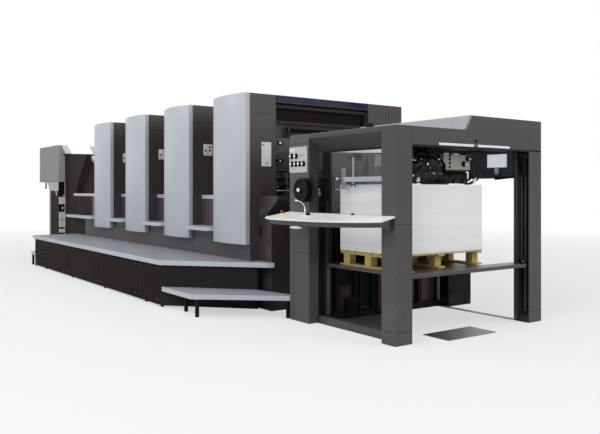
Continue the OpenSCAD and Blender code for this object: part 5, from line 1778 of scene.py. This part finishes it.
def deliveryFittings(c):
    # control panels on the side frame: keys in rows, an indicator and a small arm
    low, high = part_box("delivery_control_panel")
    x, y = high.x, low.y
    bm = copyOf("delivery_control_panel")
    softened(bm, 0.003)
    for middle, rows in c["keyRows"]:
        for k in range(rows):
            z = middle + (k - (rows - 1) / 2) * 0.032
            block(bm, (x - 0.0005, y + 0.020, z - 0.008), (x + 0.002, y + 0.042, z + 0.008), 1 + k % 2, 0.0015)
    for z, paint in ((0.880, 2), (0.855, 1)):
        rod(bm, (x - 0.024, y + 0.060, z), (x - 0.008, y + 0.060, z), 0.011, paint)
    turned(bm, [(0, 0.010), (0.012, 0.009), (0.016, 0.004), (0.017, 0)], (x - 0.012, -0.672, 1.082), right, 3, 24)
    finished("deliveryControlKeys", bm, [whitePanel, padGrey, whitePlastic, orangePlastic],
             replaces=("delivery_control_panel",))

    # light arm beside the bracket, and the white folded sheet over the housing's recess
    bm = freshMesh()
    sheetCut(bm, [(x, -0.7535, z) for x, z in c["arm"]], (0, 0.0015, 0), 0, 0.0004)
    a, b, d = (Vector(p) for p in c["whiteSheet"])
    sheetCut(bm, [a, b, d], (0, -0.004, 0), 0, 0.001)
    sheetCut(bm, [p + Vector((dx, -0.0045, dz)) for p, dx, dz in (
        (a, 0.05, -0.012), (a, 0.066, -0.012), (d, -0.012, 0.060), (d, -0.012, 0.020))], (0, -0.001, 0), 2, 0)
    # light block under the control panels
    low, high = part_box("delivery_frames")
    block(bm, (high.x - 0.004, low.y + 0.010, 0.440), (high.x + 0.020, -0.644, 0.505), 1, 0.004)
    # hook under the hood, a slot and a round plug in the link wall
    tube(bm, curved([(x, -0.70, z) for x, z in c["hook"]], 6), 0.012, 3)
    block(bm, (-2.560, -0.6428, 1.020), (-2.490, -0.6410, 1.040), 3, 0.0003)
    turned(bm, [(0, 0.004), (0.014, 0.003), (0.018, 0)], (-2.90, -0.752, 0.66), near, 3, 28)
    finished("deliveryTrim", bm, [whitePlastic, cheekPaint, hoodPaint, blackMetal])

    # doors, louvres and grips on the drive side and the end of the delivery
    bm = freshMesh()
    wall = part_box("delivery_housing")[1].y
    for x in c["doors"]:
        for z in (1.42, 0.36):
            louvres(bm, (x, wall - 0.007, z), away, 0.26, 9, 0.022)
        block(bm, (x - 0.13, wall - 0.004, 0.74), (x - 0.10, wall - 0.0004, 0.82), 1, 0.003)
    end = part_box("delivery_top_cover")[0].x
    for y in (-0.40, 0.20, 0.80):
        block(bm, (end, y - 0.06, 1.42), (end + 0.006, y + 0.06, 1.45), 1, 0.003)
    finished("deliveryDoorFittings", bm, [umber, blackPlastic])


deliveryForms(deliveryLook)
deliveryFittings(deliveryLook)
print("delivery dressed")


studio = {
    "floorSize": 60,
    "floorTone": (0.80, 0.80, 0.80),
    "whiteFrom": 4.5,        # metres from the middle at which the floor starts to run into white
    "whiteTo": 14.0,
    "worldStrength": 0.42,
    "lamps": (("keyLamp", (5.5, -7.5, 7.5), (0.5, 0, 0.8), 8, 570),    # place, target, size, power
              ("fillLamp", (9.5, 3.5, 5.0), (2.0, 0, 0.8), 5, 190),
              ("farLamp", (-5.0, -7.0, 7.0), (-2.0, 0, 0.8), 5, 280)),
}


def studioFloor(c):
    bm = bmesh.new()
    bmesh.ops.create_grid(bm, x_segments=1, y_segments=1, size=c["floorSize"] / 2)
    mesh = bpy.data.meshes.new("studioFloor")
    bm.to_mesh(mesh)
    bm.free()
    floor = bpy.data.objects.new("studioFloor", mesh)
    bpy.context.scene.collection.objects.link(floor)
    f = Finish("studioFloorTone")
    tone = f.mixed(f.noise(0.4, 2), shade(c["floorTone"], 0.99), c["floorTone"])
    f.set(Base_Color=tone, Roughness=0.9, Specular_IOR_Level=0.1)
    # seen from the camera the floor runs into the white of the background
    white = f.add("ShaderNodeEmission", None, {"Color": (1.0, 1.0, 1.0), "Strength": 1.0})
    seen = f.add("ShaderNodeLightPath").out("Is Camera Ray")
    away = f.add("ShaderNodeVectorMath", {"operation": "LENGTH"}, {0: f.place()}).out("Value")
    whiter = f.between(away, c["whiteFrom"], c["whiteTo"])
    blend = f.add("ShaderNodeMixShader", None, {0: seen * (0.55 + whiter * 0.45)})
    f.tree.links.new(f.surface.outputs[0], blend.node.inputs[1])
    f.tree.links.new(white.node.outputs[0], blend.node.inputs[2])
    f.tree.links.new(blend.node.outputs[0], f.tree.nodes["Material Output"].inputs["Surface"])
    mesh.materials.append(f.material)


def areaLamp(name, place, target, size, power):
    data = bpy.data.lights.new(name, "AREA")
    data.shape = "SQUARE"
    data.size = size
    data.energy = power
    lamp = bpy.data.objects.new(name, data)
    lamp.location = place
    lamp.rotation_euler = (Vector(target) - Vector(place)).to_track_quat("-Z", "Y").to_euler()
    bpy.context.scene.collection.objects.link(lamp)


def studioLight(c):
    world = bpy.data.worlds.new("studioWorld")
    bpy.context.scene.world = world
    world.use_nodes = True
    tree = world.node_tree
    soft, plain = tree.nodes["Background"], tree.nodes.new("ShaderNodeBackground")
    for ground, strength in ((soft, c["worldStrength"]), (plain, 1.0)):
        ground.inputs["Color"].default_value = (1, 1, 1, 1)
        ground.inputs["Strength"].default_value = strength
    rays = tree.nodes.new("ShaderNodeLightPath")
    mix = tree.nodes.new("ShaderNodeMixShader")
    seen = rays.outputs["Is Camera Ray"]
    for kind in ("Is Glossy Ray", "Is Transmission Ray"):
        either = tree.nodes.new("ShaderNodeMath")
        either.operation = "MAXIMUM"
        tree.links.new(seen, either.inputs[0])
        tree.links.new(rays.outputs[kind], either.inputs[1])
        seen = either.outputs[0]
    tree.links.new(seen, mix.inputs[0])
    tree.links.new(soft.outputs[0], mix.inputs[1])
    tree.links.new(plain.outputs[0], mix.inputs[2])
    tree.links.new(mix.outputs[0], tree.nodes["World Output"].inputs["Surface"])
    for lamp in c["lamps"]:
        areaLamp(*lamp)


studioFloor(studio)
studioLight(studio)
bpy.context.scene.view_settings.view_transform = "Standard"
print("studio lit")
